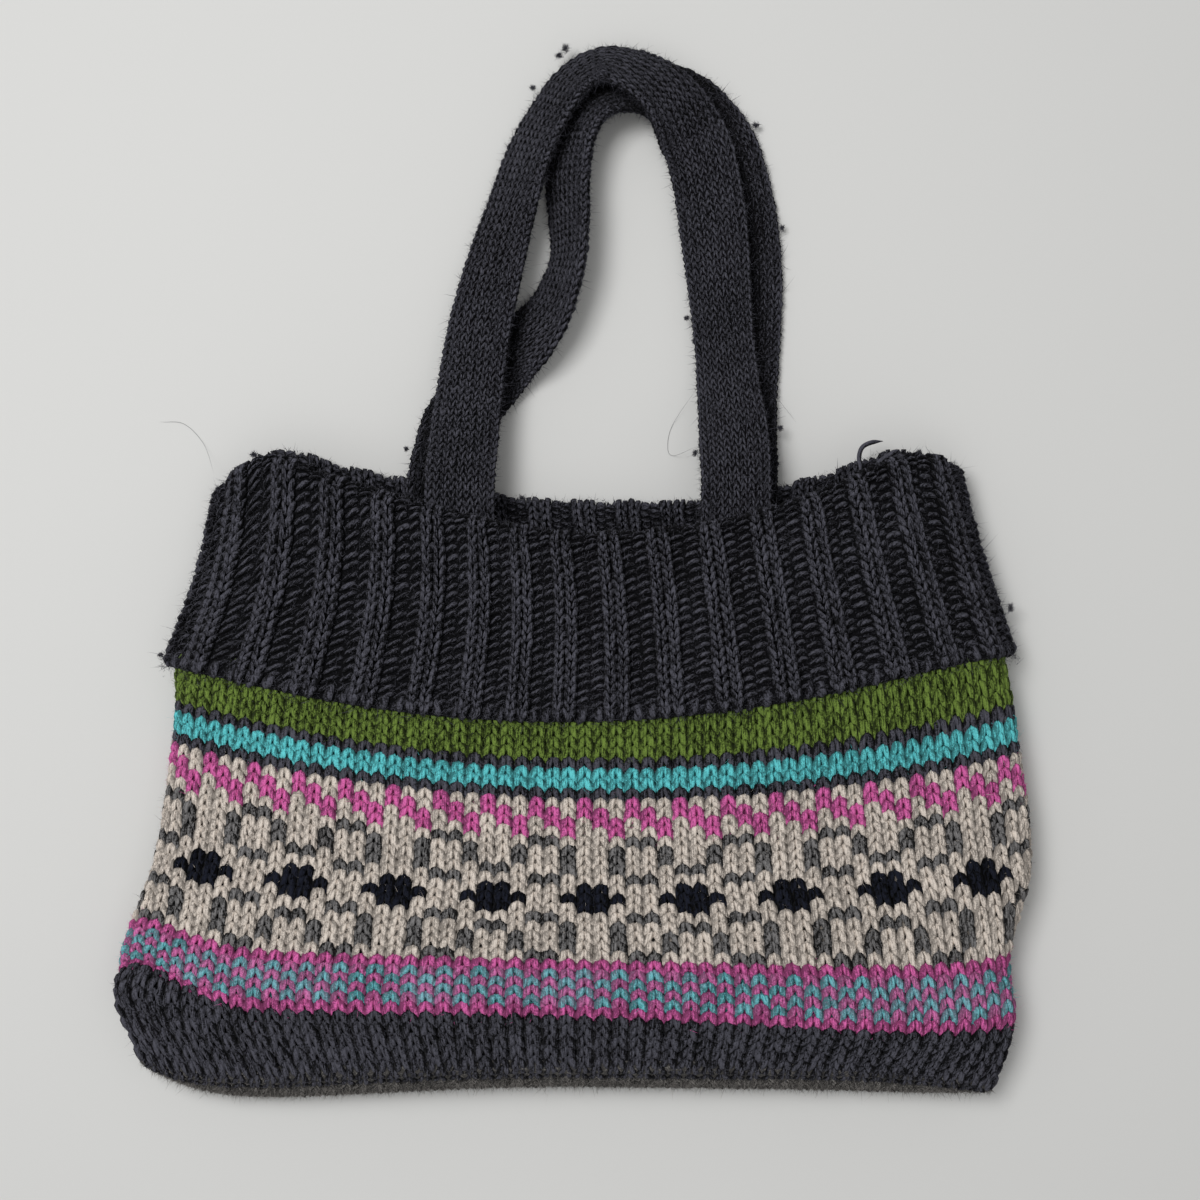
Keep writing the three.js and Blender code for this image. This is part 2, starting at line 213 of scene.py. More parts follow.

# Painted shade on the back strap in the crease beside the front strap's edge: its reach, strength and
# falloff, and how much the straps' yarn varies
CREASE_REACH = 10
CREASE_SHADE = 1.3
CREASE_POWER = 1.5
STRAP_VARY = 0.3

# The charted bands from the cuff hem down, one letter a stitch, repeating round the bag:
# g green, h charcoal, t turquoise, p pink, k ecru, r grey, b black
REPEAT = 12
CHART_SHIFT = 4
CHART_TOP = -2
GREEN, CHARCOAL, TURQUOISE, PINK = (letter * REPEAT for letter in "ghtp")
ZIGZAG = ("kpkkpkkpkkpk", "kppkppkppkpp", "pkppkppkppkp", "pkkpkkpkkpkk")
TRACERY = ("kkkkrrkkkkrr", "rkkrkkrkkrkk", "rkkrkkrkkrkk", "rkkrkkkrrkkk", "kkkkrrkkkkrr", "kbbkkkkbbkkk")
DIAMOND = "bbbbkkbbbbkk"
CHECK = ("ptptptptptpt", "tptptptptptp")
CHART = (
    (GREEN,) * 6 + (CHARCOAL,) + (TURQUOISE,) * 2 + (CHARCOAL,)
    + ZIGZAG + TRACERY + (DIAMOND,) + TRACERY[::-1]
    + (PINK,) + CHECK * 2 + (PINK,) + (CHARCOAL,) * 5
)
CHART_END = CHART_TOP + len(CHART)
CHECK_ROWS = [CHART_TOP + line for line, stitches in enumerate(CHART) if stitches in CHECK]
YARN_OF = {
    "g": "green", "h": "charcoal", "t": "turquoise", "p": "pink", "k": "ecru", "r": "grey", "b": "black",
}

# Fibres of the other yarn over the check, and the painted shade on the bands from there down
VEIL_OF = {"turquoise": ("pink", 0.5), "pink": ("turquoise", 0.3)}
BAND_SHADE = 0.3

# Stage in metres: each light's size and place, the table, and where the camera hangs
KEY_LIGHT = (0.55, (-0.42, 0.32, 1.36))
FILL_LIGHT = (1.8, (-0.1, -0.25, 1.7))
TABLE_REACH = 3.0
TABLE_TOP = -0.2 * MM
CAMERA_PLACE = (10.8 * MM, -12.52 * MM)


def srgb(red, green, blue):
    """An eight-bit screen colour as the linear colour that shaders use."""
    def linear(v):
        v /= 255
        return v / 12.92 if v <= 0.04045 else ((v + 0.055) / 1.055) ** 2.4
    return (linear(red), linear(green), linear(blue))


def yarn_colour(title, red, green, blue):
    return bpy.props.FloatVectorProperty(
        name=title, description=f"Colour of the {title.lower()} yarn",
        subtype="COLOR", size=3, min=0, max=1, default=srgb(red, green, blue),
    )


def distance(title, description, default, low, high):
    return bpy.props.FloatProperty(
        name=title, description=description,
        subtype="DISTANCE", unit="LENGTH", default=default, min=low, max=high,
    )


def light_power(title, description, default):
    return bpy.props.FloatProperty(
        name=title, description=description, subtype="POWER", unit="POWER", default=default, min=0,
    )


class KnitBagSizes(bpy.types.PropertyGroup):
    """Sizes of the knit that can be changed without changing the bag's outline"""

    body_stitch: distance(
        "Body stitch height", "How far the body's yarn stands over its backing", 2.5 * MM, 0.5 * MM, 4 * MM)
    cuff_stitch: distance(
        "Cuff stitch height", "How far the cuff's yarn stands over its backing", 2.4 * MM, 0.5 * MM, 4 * MM)
    strap_stitch: distance(
        "Strap stitch height", "How far the straps' yarn stands over its backing", 1.5 * MM, 0.5 * MM, 3 * MM)
    hair_length: distance(
        "Fuzz length", "Mean length of the loose fibres", 2.8 * MM, 0.5 * MM, 8 * MM)
    hairs_per_stitch: bpy.props.FloatProperty(
        name="Fuzz per stitch", description="Loose fibres for each stitch of the knit",
        default=1.6, min=0, max=4,
    )
    seed: bpy.props.IntProperty(name="Seed", description="Seed of the small unevenness", default=7, min=0)


class KnitBagYarns(bpy.types.PropertyGroup):
    """Yarn colours"""

    green: yarn_colour("Green", 84, 102, 45)
    turquoise: yarn_colour("Turquoise", 86, 176, 180)
    pink: yarn_colour("Pink", 188, 90, 147)
    ecru: yarn_colour("Ecru", 198, 188, 178)
    grey: yarn_colour("Grey", 71, 70, 70)
    black: yarn_colour("Black", 6, 7, 12)
    charcoal: yarn_colour("Charcoal", 49, 49, 55)
    ash: yarn_colour("Ash", 116, 113, 110)


class KnitBagStage(bpy.types.PropertyGroup):
    """Table, light and camera"""

    table_colour: bpy.props.FloatVectorProperty(
        name="Table colour", description="Colour of the pale table",
        subtype="COLOR", size=3, min=0, max=1, default=srgb(215, 215, 213),
    )
    camera_height: distance("Camera height", "Height of the camera over the table", 0.85, 0.3, 3)
    view_width: distance("View width", "Width of table that the camera sees", 0.504, 0.2, 2)
    key_power: light_power("Key light", "Power of the large soft light at the upper left", 12)
    fill_power: light_power("Fill light", "Power of the wide light overhead", 6.5)
    sky: bpy.props.FloatProperty(
        name="Room light", description="Strength of the even light from all sides", default=0.30, min=0,
    )


# Faces of the bag


def unit(vectors):
    return vectors / np.maximum(np.linalg.norm(vectors, axis=-1, keepdims=True), TINY)


def bell(away):
    return np.exp(-(away**2))


def rings(keys, table):
    """A table's columns by their keys."""
    return {key: np.array([row[i] for row in table], float) for i, key in enumerate(keys)}


def along(axis, values, at):
    """Smooth curve through values placed at axis, read at many places."""
    at = np.asarray(at, float)
    last = len(axis) - 1
    i = np.clip(np.searchsorted(axis, at, side="left") - 1, 0, last - 1)
    before = np.maximum(np.arange(last + 1) - 1, 0)
    after = np.minimum(np.arange(last + 1) + 1, last)
    slope = (values[after] - values[before]) / (axis[after] - axis[before])
    span = axis[i + 1] - axis[i]
    u = (at - axis[i]) / span
    rise = (1 + 2 * u) * (1 - u) ** 2
    fall = u * u * (3 - 2 * u)
    into = u * (1 - u) ** 2 * span
    out = u * u * (u - 1) * span
    return values[i] * rise + values[i + 1] * fall + slope[i] * into + slope[i + 1] * out


def ring_at(table, row):
    return {key: float(along(table["row"], table[key], row)) for key in RING_KEYS if key != "row"}


def inset(ring, depth):
    moved = dict(ring)
    moved["left"] += depth
    moved["right"] -= depth
    moved["low"] += depth
    moved["top"] -= depth
    return moved


CUFF = rings(RING_KEYS, CUFF_RINGS)


def body_table():
    """The body's rings, with its top edge standing inside the cuff flap."""
    first = []
    for row in (JOIN_ROW, 0):
        ring = inset(ring_at(CUFF, row), UPRIGHT_INSET)
        first.append([-row] + [ring[key] for key in RING_KEYS[1:]])
    return rings(RING_KEYS, tuple(first) + BODY_RINGS)


BODY = body_table()


def lengths(points):
    """Distance along a line of points from its first one."""
    return np.concatenate([[0], np.cumsum(np.linalg.norm(np.diff(points, axis=0), axis=1))])


def placed(want, length, values):
    """Values at the wanted distances along a line."""
    return np.stack([np.interp(want, length, column) for column in values.T], 1)


def half_section(ring, on_back):
    """Points over the front from the left fold to the right one, or back under from right to left."""
    angle = np.linspace(0, math.pi, SECTION_SAMPLES + 1)
    power = 2 / (BACK_POWER if on_back else FRONT_POWER)
    t = -np.sign(np.cos(angle)) * np.abs(np.cos(angle)) ** power
    if on_back:
        t = -t
    swell = np.abs(np.sin(angle)) ** power
    x = (ring["left"] + ring["right"]) / 2 + (ring["right"] - ring["left"]) / 2 * t
    side = np.abs(t)
    bend = np.where(t < 0, ring["bendL"], ring["bendR"])
    lift = np.where(t < 0, ring["cornerL"], ring["cornerR"])
    ear = np.where(t < 0, ring["earL"], ring["earR"]) * bell((side - EAR_PLACE) / EAR_WIDTH)
    y = ring["y"] + ring["slope"] * t + ring["arch"] * side**bend + lift * side**CORNER_POWER + ear
    z = ring["fold"] + (ring["top"] - ring["fold"]) * swell
    if on_back:
        y = y + ring["back"] * (1 - side ** ring["spread"])
        z = np.maximum(ring["low"], ring["fold"] - (ring["fold"] - ring["low"]) * BACK_PRESS * swell)
    return np.stack([x, y, z], 1)


def ring_points(ring, count):
    """Evenly spaced points round one ring, half on the front and half on the back."""
    parts = []
    for on_back in (False, True):
        fine = half_section(ring, on_back)
        length = lengths(fine)
        parts.append(placed(np.arange(count // 2) * length[-1] / (count // 2), length, fine))
    return np.concatenate(parts)


def to_frame(points):
    return (points - np.array([MIDDLE[0], MIDDLE[1], 0])) * MM


def over_table(points, clearance=CLEARANCE):
    """Points, with those under the table raised over it."""
    points[..., 2] = np.maximum(points[..., 2], clearance)
    return points


class Face:
    """A curved face, sampled at half stitches and read by column and row, with its outward normal."""

    def __init__(self, points, outward, row_start=0, wraps=True):
        self.points = points
        self.row_start = row_start
        self.wraps = wraps
        if wraps:
            across = np.roll(points, -1, 1) - np.roll(points, 1, 1)
        else:
            across = np.gradient(points, axis=1)
        down = np.gradient(points, axis=0)
        self.normals = unit(np.cross(down, across) * outward)

    def read(self, columns, rows):
        u = np.asarray(columns) / FINE
        v = (np.asarray(rows) - self.row_start) / FINE
        high, wide = self.points.shape[:2]
        if not self.wraps:
            u = np.clip(u, 0, wide - 1.0001)
        i = np.clip(np.floor(v).astype(int), 0, high - 2)
        j = np.floor(u).astype(int)
        fv, fu = (v - i)[..., None], (u - j)[..., None]
        j, k = j % wide, (j + 1) % wide
        def mix(grid):
            top = grid[i, j] * (1 - fu) + grid[i, k] * fu
            low = grid[i + 1, j] * (1 - fu) + grid[i + 1, k] * fu
            return top * (1 - fv) + low * fv
        return mix(self.points), mix(self.normals)


def dart_share(columns):
    """How much of the lower left dart shows at a face column."""
    half = BODY_COLUMNS / 2
    away = np.mod(np.asarray(columns, float) - DART_COLUMN + half, BODY_COLUMNS) - half
    return bell(away / np.where(away < 0, DART_LEFT, DART_RIGHT))


def dart_lift(columns, rows):
    """Rows by which a charted row is drawn up beside the dart."""
    return DART_ROWS * dart_share(columns) * np.clip((rows - DART_START) / (BASE_ROW - DART_START), 0, 1)


def body_face(depth):
    """The tube's outside, sunk by depth, with the dart's lobe and crease."""
    rows = np.arange(-JOIN_ROW, LAST_ROW + FINE / 2, FINE)
    columns = np.arange(0, BODY_COLUMNS, FINE)
    grid = [ring_points(inset(ring_at(BODY, row), depth), len(columns)) for row in rows]
    plain = Face(to_frame(np.array(grid)), 1, rows[0])
    share = dart_share(columns)
    below = rows[:, None] - BASE_ROW + DART_ROWS * share
    moved = sum(high * bell((below - row) / reach) for high, row, reach in DART_FOLDS)
    points = plain.points + plain.normals * (moved * share * MM)[..., None]
    return Face(over_table(points, BODY_CLEARANCE), 1, rows[0])


def rib_share(columns):
    """None of the rib's depth on the crest of a knit pair, all of it in the purl trough."""
    wave = np.cos(2 * math.pi * np.asarray(columns) / RIB_PERIOD)
    return 0.5 - 0.5 * np.tanh(RIB_FLATNESS * wave) / math.tanh(RIB_FLATNESS)


def rib_columns(columns):
    """Face columns of the cuff's stitch columns: close in the knit pairs, and drifting as hand knit does."""
    columns = np.asarray(columns, float)
    drift = np.interp(np.mod(columns, CUFF_COLUMNS), DRIFT_COLUMNS, DRIFT)
    return columns + drift - RIB_SQUEEZE * np.sin(2 * math.pi * columns / RIB_PERIOD)


def cuff_ring(ring, columns, step, depth, share):
    """Points of one cuff ring under its stitch columns, sunk by the share of the rib's depth."""
    count = int(CUFF_COLUMNS / step)
    at = rib_columns(columns) / step
    left = np.floor(at).astype(int)
    part = (at - left)[:, None]
    def read(deep):
        even = ring_points(inset(ring, deep), count)
        return even[left % count] * (1 - part) + even[(left + 1) % count] * part
    plain = read(depth)
    return plain + (read(depth + RIB_DEPTH) - plain) * share


def cuff_path(path_row, depth):
    """Ring row, depth and rise where the cuff's face has run path_row rows up from its hem."""
    middle = CUFF_INNER / 2
    if path_row <= FOLD_ROW:
        return path_row, depth, 0.0
    if path_row <= FOLD_ROW + FOLD_ROWS:
        turn = math.pi * (path_row - FOLD_ROW) / FOLD_ROWS
        reach = middle - depth
        return FOLD_ROW, middle - reach * math.cos(turn), reach * math.sin(turn)
    return FOLD_ROW - (path_row - FOLD_ROW - FOLD_ROWS), CUFF_INNER - depth, 0.0


def cuff_face(depth):
    """The cuff's knit from its hem up, over the fold and down inside."""
    rows = np.arange(0, CUFF_ROWS + FINE / 2, FINE)
    columns = np.arange(0, CUFF_COLUMNS, FINE)
    share = rib_share(columns)[:, None]
    grid = []
    for path_row in rows:
        row, deep, rise = cuff_path(path_row, depth)
        fade = share * np.clip((FOLD_ROW + FOLD_ROWS / 2 - path_row) / FOLD_ROWS, 0, 1)
        points = cuff_ring(ring_at(CUFF, row), columns, FINE, deep, fade)
        points[:, 1] += rise
        grid.append(points)
    return Face(to_frame(np.array(grid)), -1)


def strap_path(table):
    """Centres, frames and half widths along one strap, evenly spaced by its own stitch rows."""
    rows = rings(STRAP_KEYS, table)
    steps = np.arange(len(table), dtype=float)
    fine = np.linspace(0, len(table) - 1, STRAP_SAMPLES)
    x, y, level, tilt, wide = (along(steps, rows[key], fine) for key in STRAP_KEYS)
    tilt = np.radians(tilt)
    rest = wide * np.abs(np.sin(tilt)) + STRAP_HALF_THICK * np.cos(tilt)
    centre = np.stack([x, y, level + rest], 1)
    length = lengths(centre)
    count = int(round(length[-1] / STRAP_ROW))
    want = np.linspace(0, length[-1], count * 2 + 1)
    centre = placed(want, length, centre)
    tilt, wide = np.interp(want, length, tilt), np.interp(want, length, wide)
    tangent = unit(np.gradient(centre, axis=0))
    outward = unit(np.cross([0, 0, 1], tangent))
    face = np.cross(tangent, outward)
    cos, sin = np.cos(tilt)[:, None], np.sin(tilt)[:, None]
    return centre, outward * cos - face * sin, face * cos + outward * sin, wide, count


def strap_section(count, depth):
    """Evenly spaced points round the strap's flat rounded section."""
    angle = np.linspace(0, 2 * math.pi, STRAP_ROUND)
    round_one = np.stack([np.cos(angle), np.sin(angle)], 1)
    shape = np.sign(round_one) * np.abs(round_one) ** (2 / STRAP_POWER)
    shape *= (STRAP_WIDE - depth, STRAP_HALF_THICK - depth)
    length = lengths(shape)
    return placed(np.arange(count) * length[-1] / count, length, shape).T


def strap_face(table, depth):
    """The strap's knit round its section, sunk by depth, and its number of rows."""
    centre, sideways, upward, wide, count = strap_path(table)
    across, over = strap_section(int(STRAP_COLUMNS / FINE), depth)
    spread = across[None, :, None] * (wide / STRAP_WIDE)[:, None, None]
    grid = centre[:, None] + sideways[:, None] * spread + upward[:, None] * over[None, :, None]
    return Face(to_frame(grid), -1), count


def gusset_face(depth):
    """The bottom strip from the front's lower edge to the back's, columns across and rows down."""
    edge = ring_points(inset(ring_at(BODY, LAST_ROW), GUSSET_EDGE + depth), BODY_COLUMNS * 2)
    front = edge[: BODY_COLUMNS + 1]
    back = np.roll(edge, -1, 0)[::-1][: BODY_COLUMNS + 1]
    share = np.linspace(0, 1, GUSSET_ROWS * 2 + 1)[:, None, None]
    grid = front[None] * (1 - share) + back[None] * share
    height = np.linalg.norm(front - back, axis=1)
    puff = np.sin(math.pi * share[..., 0]) ** 0.6 * np.minimum(height / GUSSET_FULL, 1)[None]
    grid[..., 1] -= GUSSET_SWELL * puff - depth
    return Face(to_frame(grid), 1, wraps=False)


# Stitches


def spindle(path, radii, sides, stops, aspect):
    """A tapered yarn leg. Path points hold column, row and height, stops say where its loops stand along it,
    and aspect is the height of a row over the width of a column."""
    path = np.array(path, float) * (1, aspect, 1)
    radii = np.array(radii, float)
    place = np.linspace(0, 1, len(path))
    def at(values, where):
        return np.stack([along(place, column, where) for column in values.T], -1)
    where = np.array(stops)
    centres, girths = at(path, where), at(radii, where)
    leads = at(path, np.minimum(where + 0.02, 1)) - at(path, np.maximum(where - 0.02, 0))
    leads = unit(leads[:, :2])
    turns = 2 * math.pi * (np.arange(sides) + 0.5) / sides - math.pi / 2
    wide = np.stack([leads[:, 1], -leads[:, 0]], 1)[:, None] * (np.cos(turns)[:, None] * girths[:, None, :1])
    tall = np.sin(turns)[None, :, None] * girths[:, None, 1:]
    loops = centres[:, None] + np.concatenate([wide, tall], 2)
    verts = np.concatenate([path[:1], loops.reshape(-1, 3), path[-1:]]) / (1, aspect, 1)
    tris, places = [], []
    end = len(verts) - 1
    v_of = [0.0] + list(stops) + [1.0]
    for side in range(sides):
        after = (side + 1) % sides
        u0, u1 = side / sides, (side + 1) / sides
        tris.append((0, 1 + side, 1 + after))
        places += [((u0 + u1) / 2, 0), (u0, v_of[1]), (u1, v_of[1])]
        for ring in range(len(stops) - 1):
            a = 1 + ring * sides
            b = a + sides
            tris.append((a + side, b + side, b + after))
            places += [(u0, v_of[ring + 1]), (u0, v_of[ring + 2]), (u1, v_of[ring + 2])]
            tris.append((a + side, b + after, a + after))
            places += [(u0, v_of[ring + 1]), (u1, v_of[ring + 2]), (u1, v_of[ring + 1])]
        a = 1 + (len(stops) - 1) * sides
        tris.append((a + side, end, a + after))
        places += [(u0, v_of[-2]), ((u0 + u1) / 2, 1), (u1, v_of[-2])]
    return verts, np.array(tris), np.array(places)


def turned(tris, places):
    """Faces that look the other way, with their places to match."""
    return tris[:, ::-1], places.reshape(-1, 3, 2)[:, ::-1].reshape(-1, 2)


# A leg starts close to its twin at the point of the chevron, swells as it leans out, and dives at its foot.
# Columns and rows are shares of a stitch, heights shares of the stitch's height.
LEG_PATH = (
    (0.050, -0.80, 0.34), (0.165, -0.46, 0.62), (0.290, 0.0, 0.62), (0.385, 0.46, 0.42), (0.450, 0.95, 0.02),
)
LEG_RADII = ((0.13, 0.23), (0.225, 0.44), (0.240, 0.46), (0.190, 0.38), (0.09, 0.17))
STRAP_LEG_PATH = (
    (0.065, -0.60, 0.28), (0.125, -0.36, 0.55), (0.25, 0.0, 0.62), (0.375, 0.36, 0.48), (0.475, 0.74, 0.06),
)
STRAP_LEG_RADII = ((0.10, 0.20), (0.205, 0.42), (0.225, 0.46), (0.185, 0.38), (0.08, 0.16))
RIB_LEG_PATH = (
    (0.080, -0.76, 0.26), (0.140, -0.44, 0.54), (0.260, 0.0, 0.60), (0.370, 0.44, 0.44), (0.450, 0.88, 0.04),
)
RIB_LEG_RADII = ((0.10, 0.18), (0.195, 0.40), (0.225, 0.47), (0.195, 0.40), (0.08, 0.16))
PURL_PATH = (
    (-0.48, -0.10, 0.05), (-0.27, 0.02, 0.42), (0.0, 0.05, 0.52), (0.27, 0.02, 0.42), (0.48, -0.10, 0.05),
)
PURL_RADII = ((0.10, 0.18), (0.185, 0.42), (0.205, 0.48), (0.185, 0.42), (0.10, 0.18))
HEM_PATH = (
    (0.10, 1.25, 0.20), (0.06, 0.70, 0.56), (0.0, 0.15, 0.66), (-0.06, -0.30, 0.42), (-0.08, -0.55, -0.25),
)
HEM_RADII = ((0.12, 0.18), (0.26, 0.38), (0.31, 0.46), (0.29, 0.42), (0.12, 0.18))

# Where the loops of a leg stand along it by their number, and a row's height over a column's width
STOPS = {
    5: (0.06, 0.26, 0.5, 0.74, 0.94), 4: (0.09, 0.36, 0.66, 0.91), 3: (0.12, 0.5, 0.88), 2: (0.2, 0.8),
}
BODY_ASPECT = 0.58
CUFF_ASPECT = 0.63
STRAP_ASPECT = 0.80

# Unevenness of the yarn: its surface, and the stitches' place, size, height and tone
LUMP = 0.12 * MM
WANDER = 0.022
GROWTH = 0.05
LIFT = 0.07
VARY = 0.6

# Empty margin of a cell in the map for baking
CELL_MARGIN = 0.06

# Place round the yarn whose painted flank shade the fabric under it takes, so the gaps between stitches are
# painted dark
BACKING_FLANK = 0.26

# Pills of matted fibre (place and size), the loose end of yarn at the mouth with its stub, and long stray
# fibres, all in millimetres
PILL_HAIRS = 220
CUFF_PILLS = (
    (-132.1, 47.4, 14, 1.6), (-69.5, 50.0, 12, 1.1), (-21.2, 29.4, 20, 1.2), (180.4, -15.8, 14, 1.6),
    (142.3, 48.2, 18, 1.2), (-171.0, -35.3, 12, 1.2),
)
STRAP_PILLS = {
    "strap_front": (
        (-3.6, 216.4, 10, 1.9), (-6.2, 213.6, 10, 1.6), (-17.2, 200.6, 8, 1.1), (28.3, 215.6, 8, 1.0),
        (46.8, 104.8, 8, 1.0), (49.9, 95.2, 8, 0.9), (50.2, 48.4, 12, 1.2),
    ),
    "strap_back": ((75.8, 185.6, 5, 1.5), (85.5, 58.9, 10, 1.3), (87.0, 143.0, 4, 1.1)),
}
SPIKE_PLACES = ((0.3, 0.3), (0.6, 0.3), (0.5, 0.7))
SPIKE_TONE = (0.8, 2.2)
SPIKE_HALF_WIDTH = (0.07, 0.13)
STRAND_LOOPS = 25
STRAND_SIDES = 6
STRAND_TONE = 1.6
TAIL = (
    (117.5, 36, 24), (117.2, 41.6, 24), (116.8, 46, 22),
    (118.4, 50.1, 20), (122.3, 52.2, 18), (127.3, 52.9, 17),
)
TAIL_RADIUS = 0.95
STUB = ((123, 41.5, 22), (126, 44.5, 21.5), (129.6, 47, 21), (133.5, 49.1, 20.5))
STUB_RADIUS = 1.1
STRAY_RADIUS = 0.05
CUFF_STRAYS = (
    ((-174, 62.2, 0.4), (-163.9, 61.4, 0.4), (-155.5, 53, 1), (-148.8, 40.4, 14)),
)
STRAP_STRAYS = {
    "strap_front": (
        ((50.7, 75, 8), (41.5, 61.4, 0.5), (39.2, 52.2, 0.4), (41.5, 48, 0.5), (51.1, 51.1, 14)),
        ((76.5, 84.2, 15), (78.4, 78.6, 13), (83.9, 72.3, 8), (93.1, 62.2, 0.5)),
    ),
    "strap_back": (),
}

# Fuzz: how far it strays from its stitch, more along the folds that make the outline, on the felted
# base, on the gusset and at the hem's front and back, then its lengths as shares of the fuzz length
FUZZ_SPREAD = 0.6
EDGE_FUZZ = 4.5
EDGE_REACH = 1.6
BASE_FUZZ = 14
GUSSET_FUZZ = 40
HEM_FUZZ = (40, 8)
BASE_HAIR, BODY_HAIR, GUSSET_HAIR, CUFF_HAIR, STRAP_HAIR, HEM_HAIR = 0.4, 0.55, 0.6, 0.7, 0.7, 0.8


def legs(sides, loops, aspect, path=LEG_PATH, radii=LEG_RADII):
    """The right leg of a stitch and its mirror image."""
    verts, tris, places = spindle(path, radii, sides, STOPS[loops], aspect)
    return (verts, tris, places), (verts * (-1, 1, 1), *turned(tris, places))


def outward_volume(points, tris):
    """Volume of one leg, less than nothing where its faces look inward."""
    a, b, c = (points[tris[:, k]] for k in range(3))
    return float(np.einsum("ij,ij->i", a, np.cross(b, c)).sum())


class Knit:
    """Collects yarn for one piece: points, faces, the place along each leg and a cell to bake it into."""

    def __init__(self):
        self.verts, self.tris, self.yarn, self.tone, self.veil, self.units = [], [], [], [], [], []
        self.count = 0
        self.cells = 0

    def store(self, points, tris, places, tone, veil, units):
        """Keeps points, faces, their places along the yarn, dye with painted shade by point, and each face
        corner's unit.
        """
        self.verts.append(points.reshape(-1, 3))
        self.tris.append(tris.reshape(-1, 3) + self.count)
        self.yarn.append(places)
        self.tone.append(tone)
        self.veil.append(veil)
        self.units.append(units + self.cells)
        self.count += len(self.verts[-1])
        self.cells += units[-1] + 1

    def add(
        self, face, cells, leg, height, rng, pitch=1, wander=WANDER, veil=0, slant=0, shade=0, vary=VARY,
    ):
        """Lays one leg at every cell (column, row) of a face. pitch is the number of rows in a stitch."""
        verts, tris, places = leg
        n = len(cells)
        if n == 0:
            return
        nudge = rng.normal(0, wander, (n, 2))
        grow = 1 + rng.normal(0, GROWTH, (n, 1))
        lift = 1 + rng.normal(0, LIFT, (n, 1))
        lean = rng.normal(0, 1.2 * wander, (n, 1))
        column = verts[None, :, 0] * grow + lean * verts[None, :, 1]
        row = verts[None, :, 1] * pitch * grow + np.reshape(slant, (-1, 1)) * verts[None, :, 0]
        centre, normal = face.read(cells[:, :1] + nudge[:, :1] + column, cells[:, 1:2] + nudge[:, 1:] + row)
        raised = (verts[None, :, 2] * lift * height)[..., None]
        points = over_table(centre + normal * raised + rng.normal(0, LUMP, (n, len(verts), 3)))
        if outward_volume(points[0] - points[0].mean(0), tris) < 0:
            tris, places = turned(tris, places)
        # shade lowers the tone, and so darkens the dye, as painted shade
        tone = np.repeat(0.5 + vary * (rng.random(n) - 0.5) - shade, len(verts))
        veil = np.repeat(np.broadcast_to(veil, n), len(verts))
        tris = tris[None] + np.arange(n)[:, None, None] * len(verts)
        self.store(points, tris, np.tile(places, (n, 1)), tone, veil, np.repeat(np.arange(n), len(places)))

    def fuzz(self, face, cells, count, height, length, rng):
        """Some loose fibres standing off the yarn near each cell."""
        cells = np.repeat(cells, count, 0)
        n = len(cells)
        at = cells + rng.normal(0, FUZZ_SPREAD, (n, 2))
        root, normal = face.read(at[:, 0], at[:, 1])
        root = root + normal * height * rng.uniform(0.3, 0.9, (n, 1))
        way = normal * rng.uniform(0.15, 1.0, (n, 1)) + rng.normal(0, 0.75, (n, 3))
        self.spikes(root, way, length * rng.gamma(2.2, 0.45, (n, 1)), rng)

    def pill(self, x, y, z, size, rng):
        """A small ball of matted fibres just off the yarn."""
        root = np.array([x, y, z]) + rng.normal(0, size / 2.4, (PILL_HAIRS, 3)) * rng.uniform(0.6, 1.2, 3)
        way = rng.normal(0, 1, (PILL_HAIRS, 3))
        self.spikes(root * MM, way, size * rng.uniform(0.5, 1.5, (PILL_HAIRS, 1)) * MM, rng)

    def spikes(self, root, way, length, rng):
        """Slim blades, each one face from a root to a tip."""
        n = len(root)
        if n == 0:
            return
        way = unit(way)
        side = unit(np.cross(way, rng.normal(0, 1, (n, 3)))) * rng.uniform(*SPIKE_HALF_WIDTH, (n, 1)) * MM
        points = over_table(np.stack([root - side, root + side, root + way * length], 1))
        tone = np.repeat(rng.uniform(*SPIKE_TONE, n), 3)
        blank = np.zeros(n * 3, int)
        self.store(points, np.arange(n * 3), np.tile(SPIKE_PLACES, (n, 1)), tone, blank, blank)

    def strand(self, path, radius):
        """A loose end of yarn along a path in millimetres."""
        path = np.array(path, float)
        steps = np.arange(len(path), dtype=float)
        fine = np.linspace(0, steps[-1], STRAND_LOOPS)
        centre = np.stack([along(steps, column, fine) for column in path.T], 1)
        lead = unit(np.gradient(centre, axis=0))
        side = unit(np.cross(lead, (0, 0, 1)))
        over = np.cross(side, lead)
        turn = 2 * math.pi * np.arange(STRAND_SIDES) / STRAND_SIDES
        share = np.linspace(0, 1, STRAND_LOOPS)
        girth = radius * np.minimum(1, 0.1 + 6 * np.minimum(share, 1 - share))
        ring = side[:, None] * np.cos(turn)[None, :, None] + over[:, None] * np.sin(turn)[None, :, None]
        verts = over_table((centre[:, None] + ring * girth[:, None, None]) * MM).reshape(-1, 3)
        tris = hoop_tris(STRAND_LOOPS, STRAND_SIDES, False)
        if outward_volume(verts - verts.mean(0), tris) < 0:
            tris = tris[:, ::-1]
        place = np.stack([tris % STRAND_SIDES / STRAND_SIDES, tris // STRAND_SIDES / STRAND_LOOPS], -1)
        tone = np.full(len(verts), STRAND_TONE)
        self.store(verts, tris, place.reshape(-1, 2), tone, np.zeros(len(verts)), np.zeros(tris.size, int))

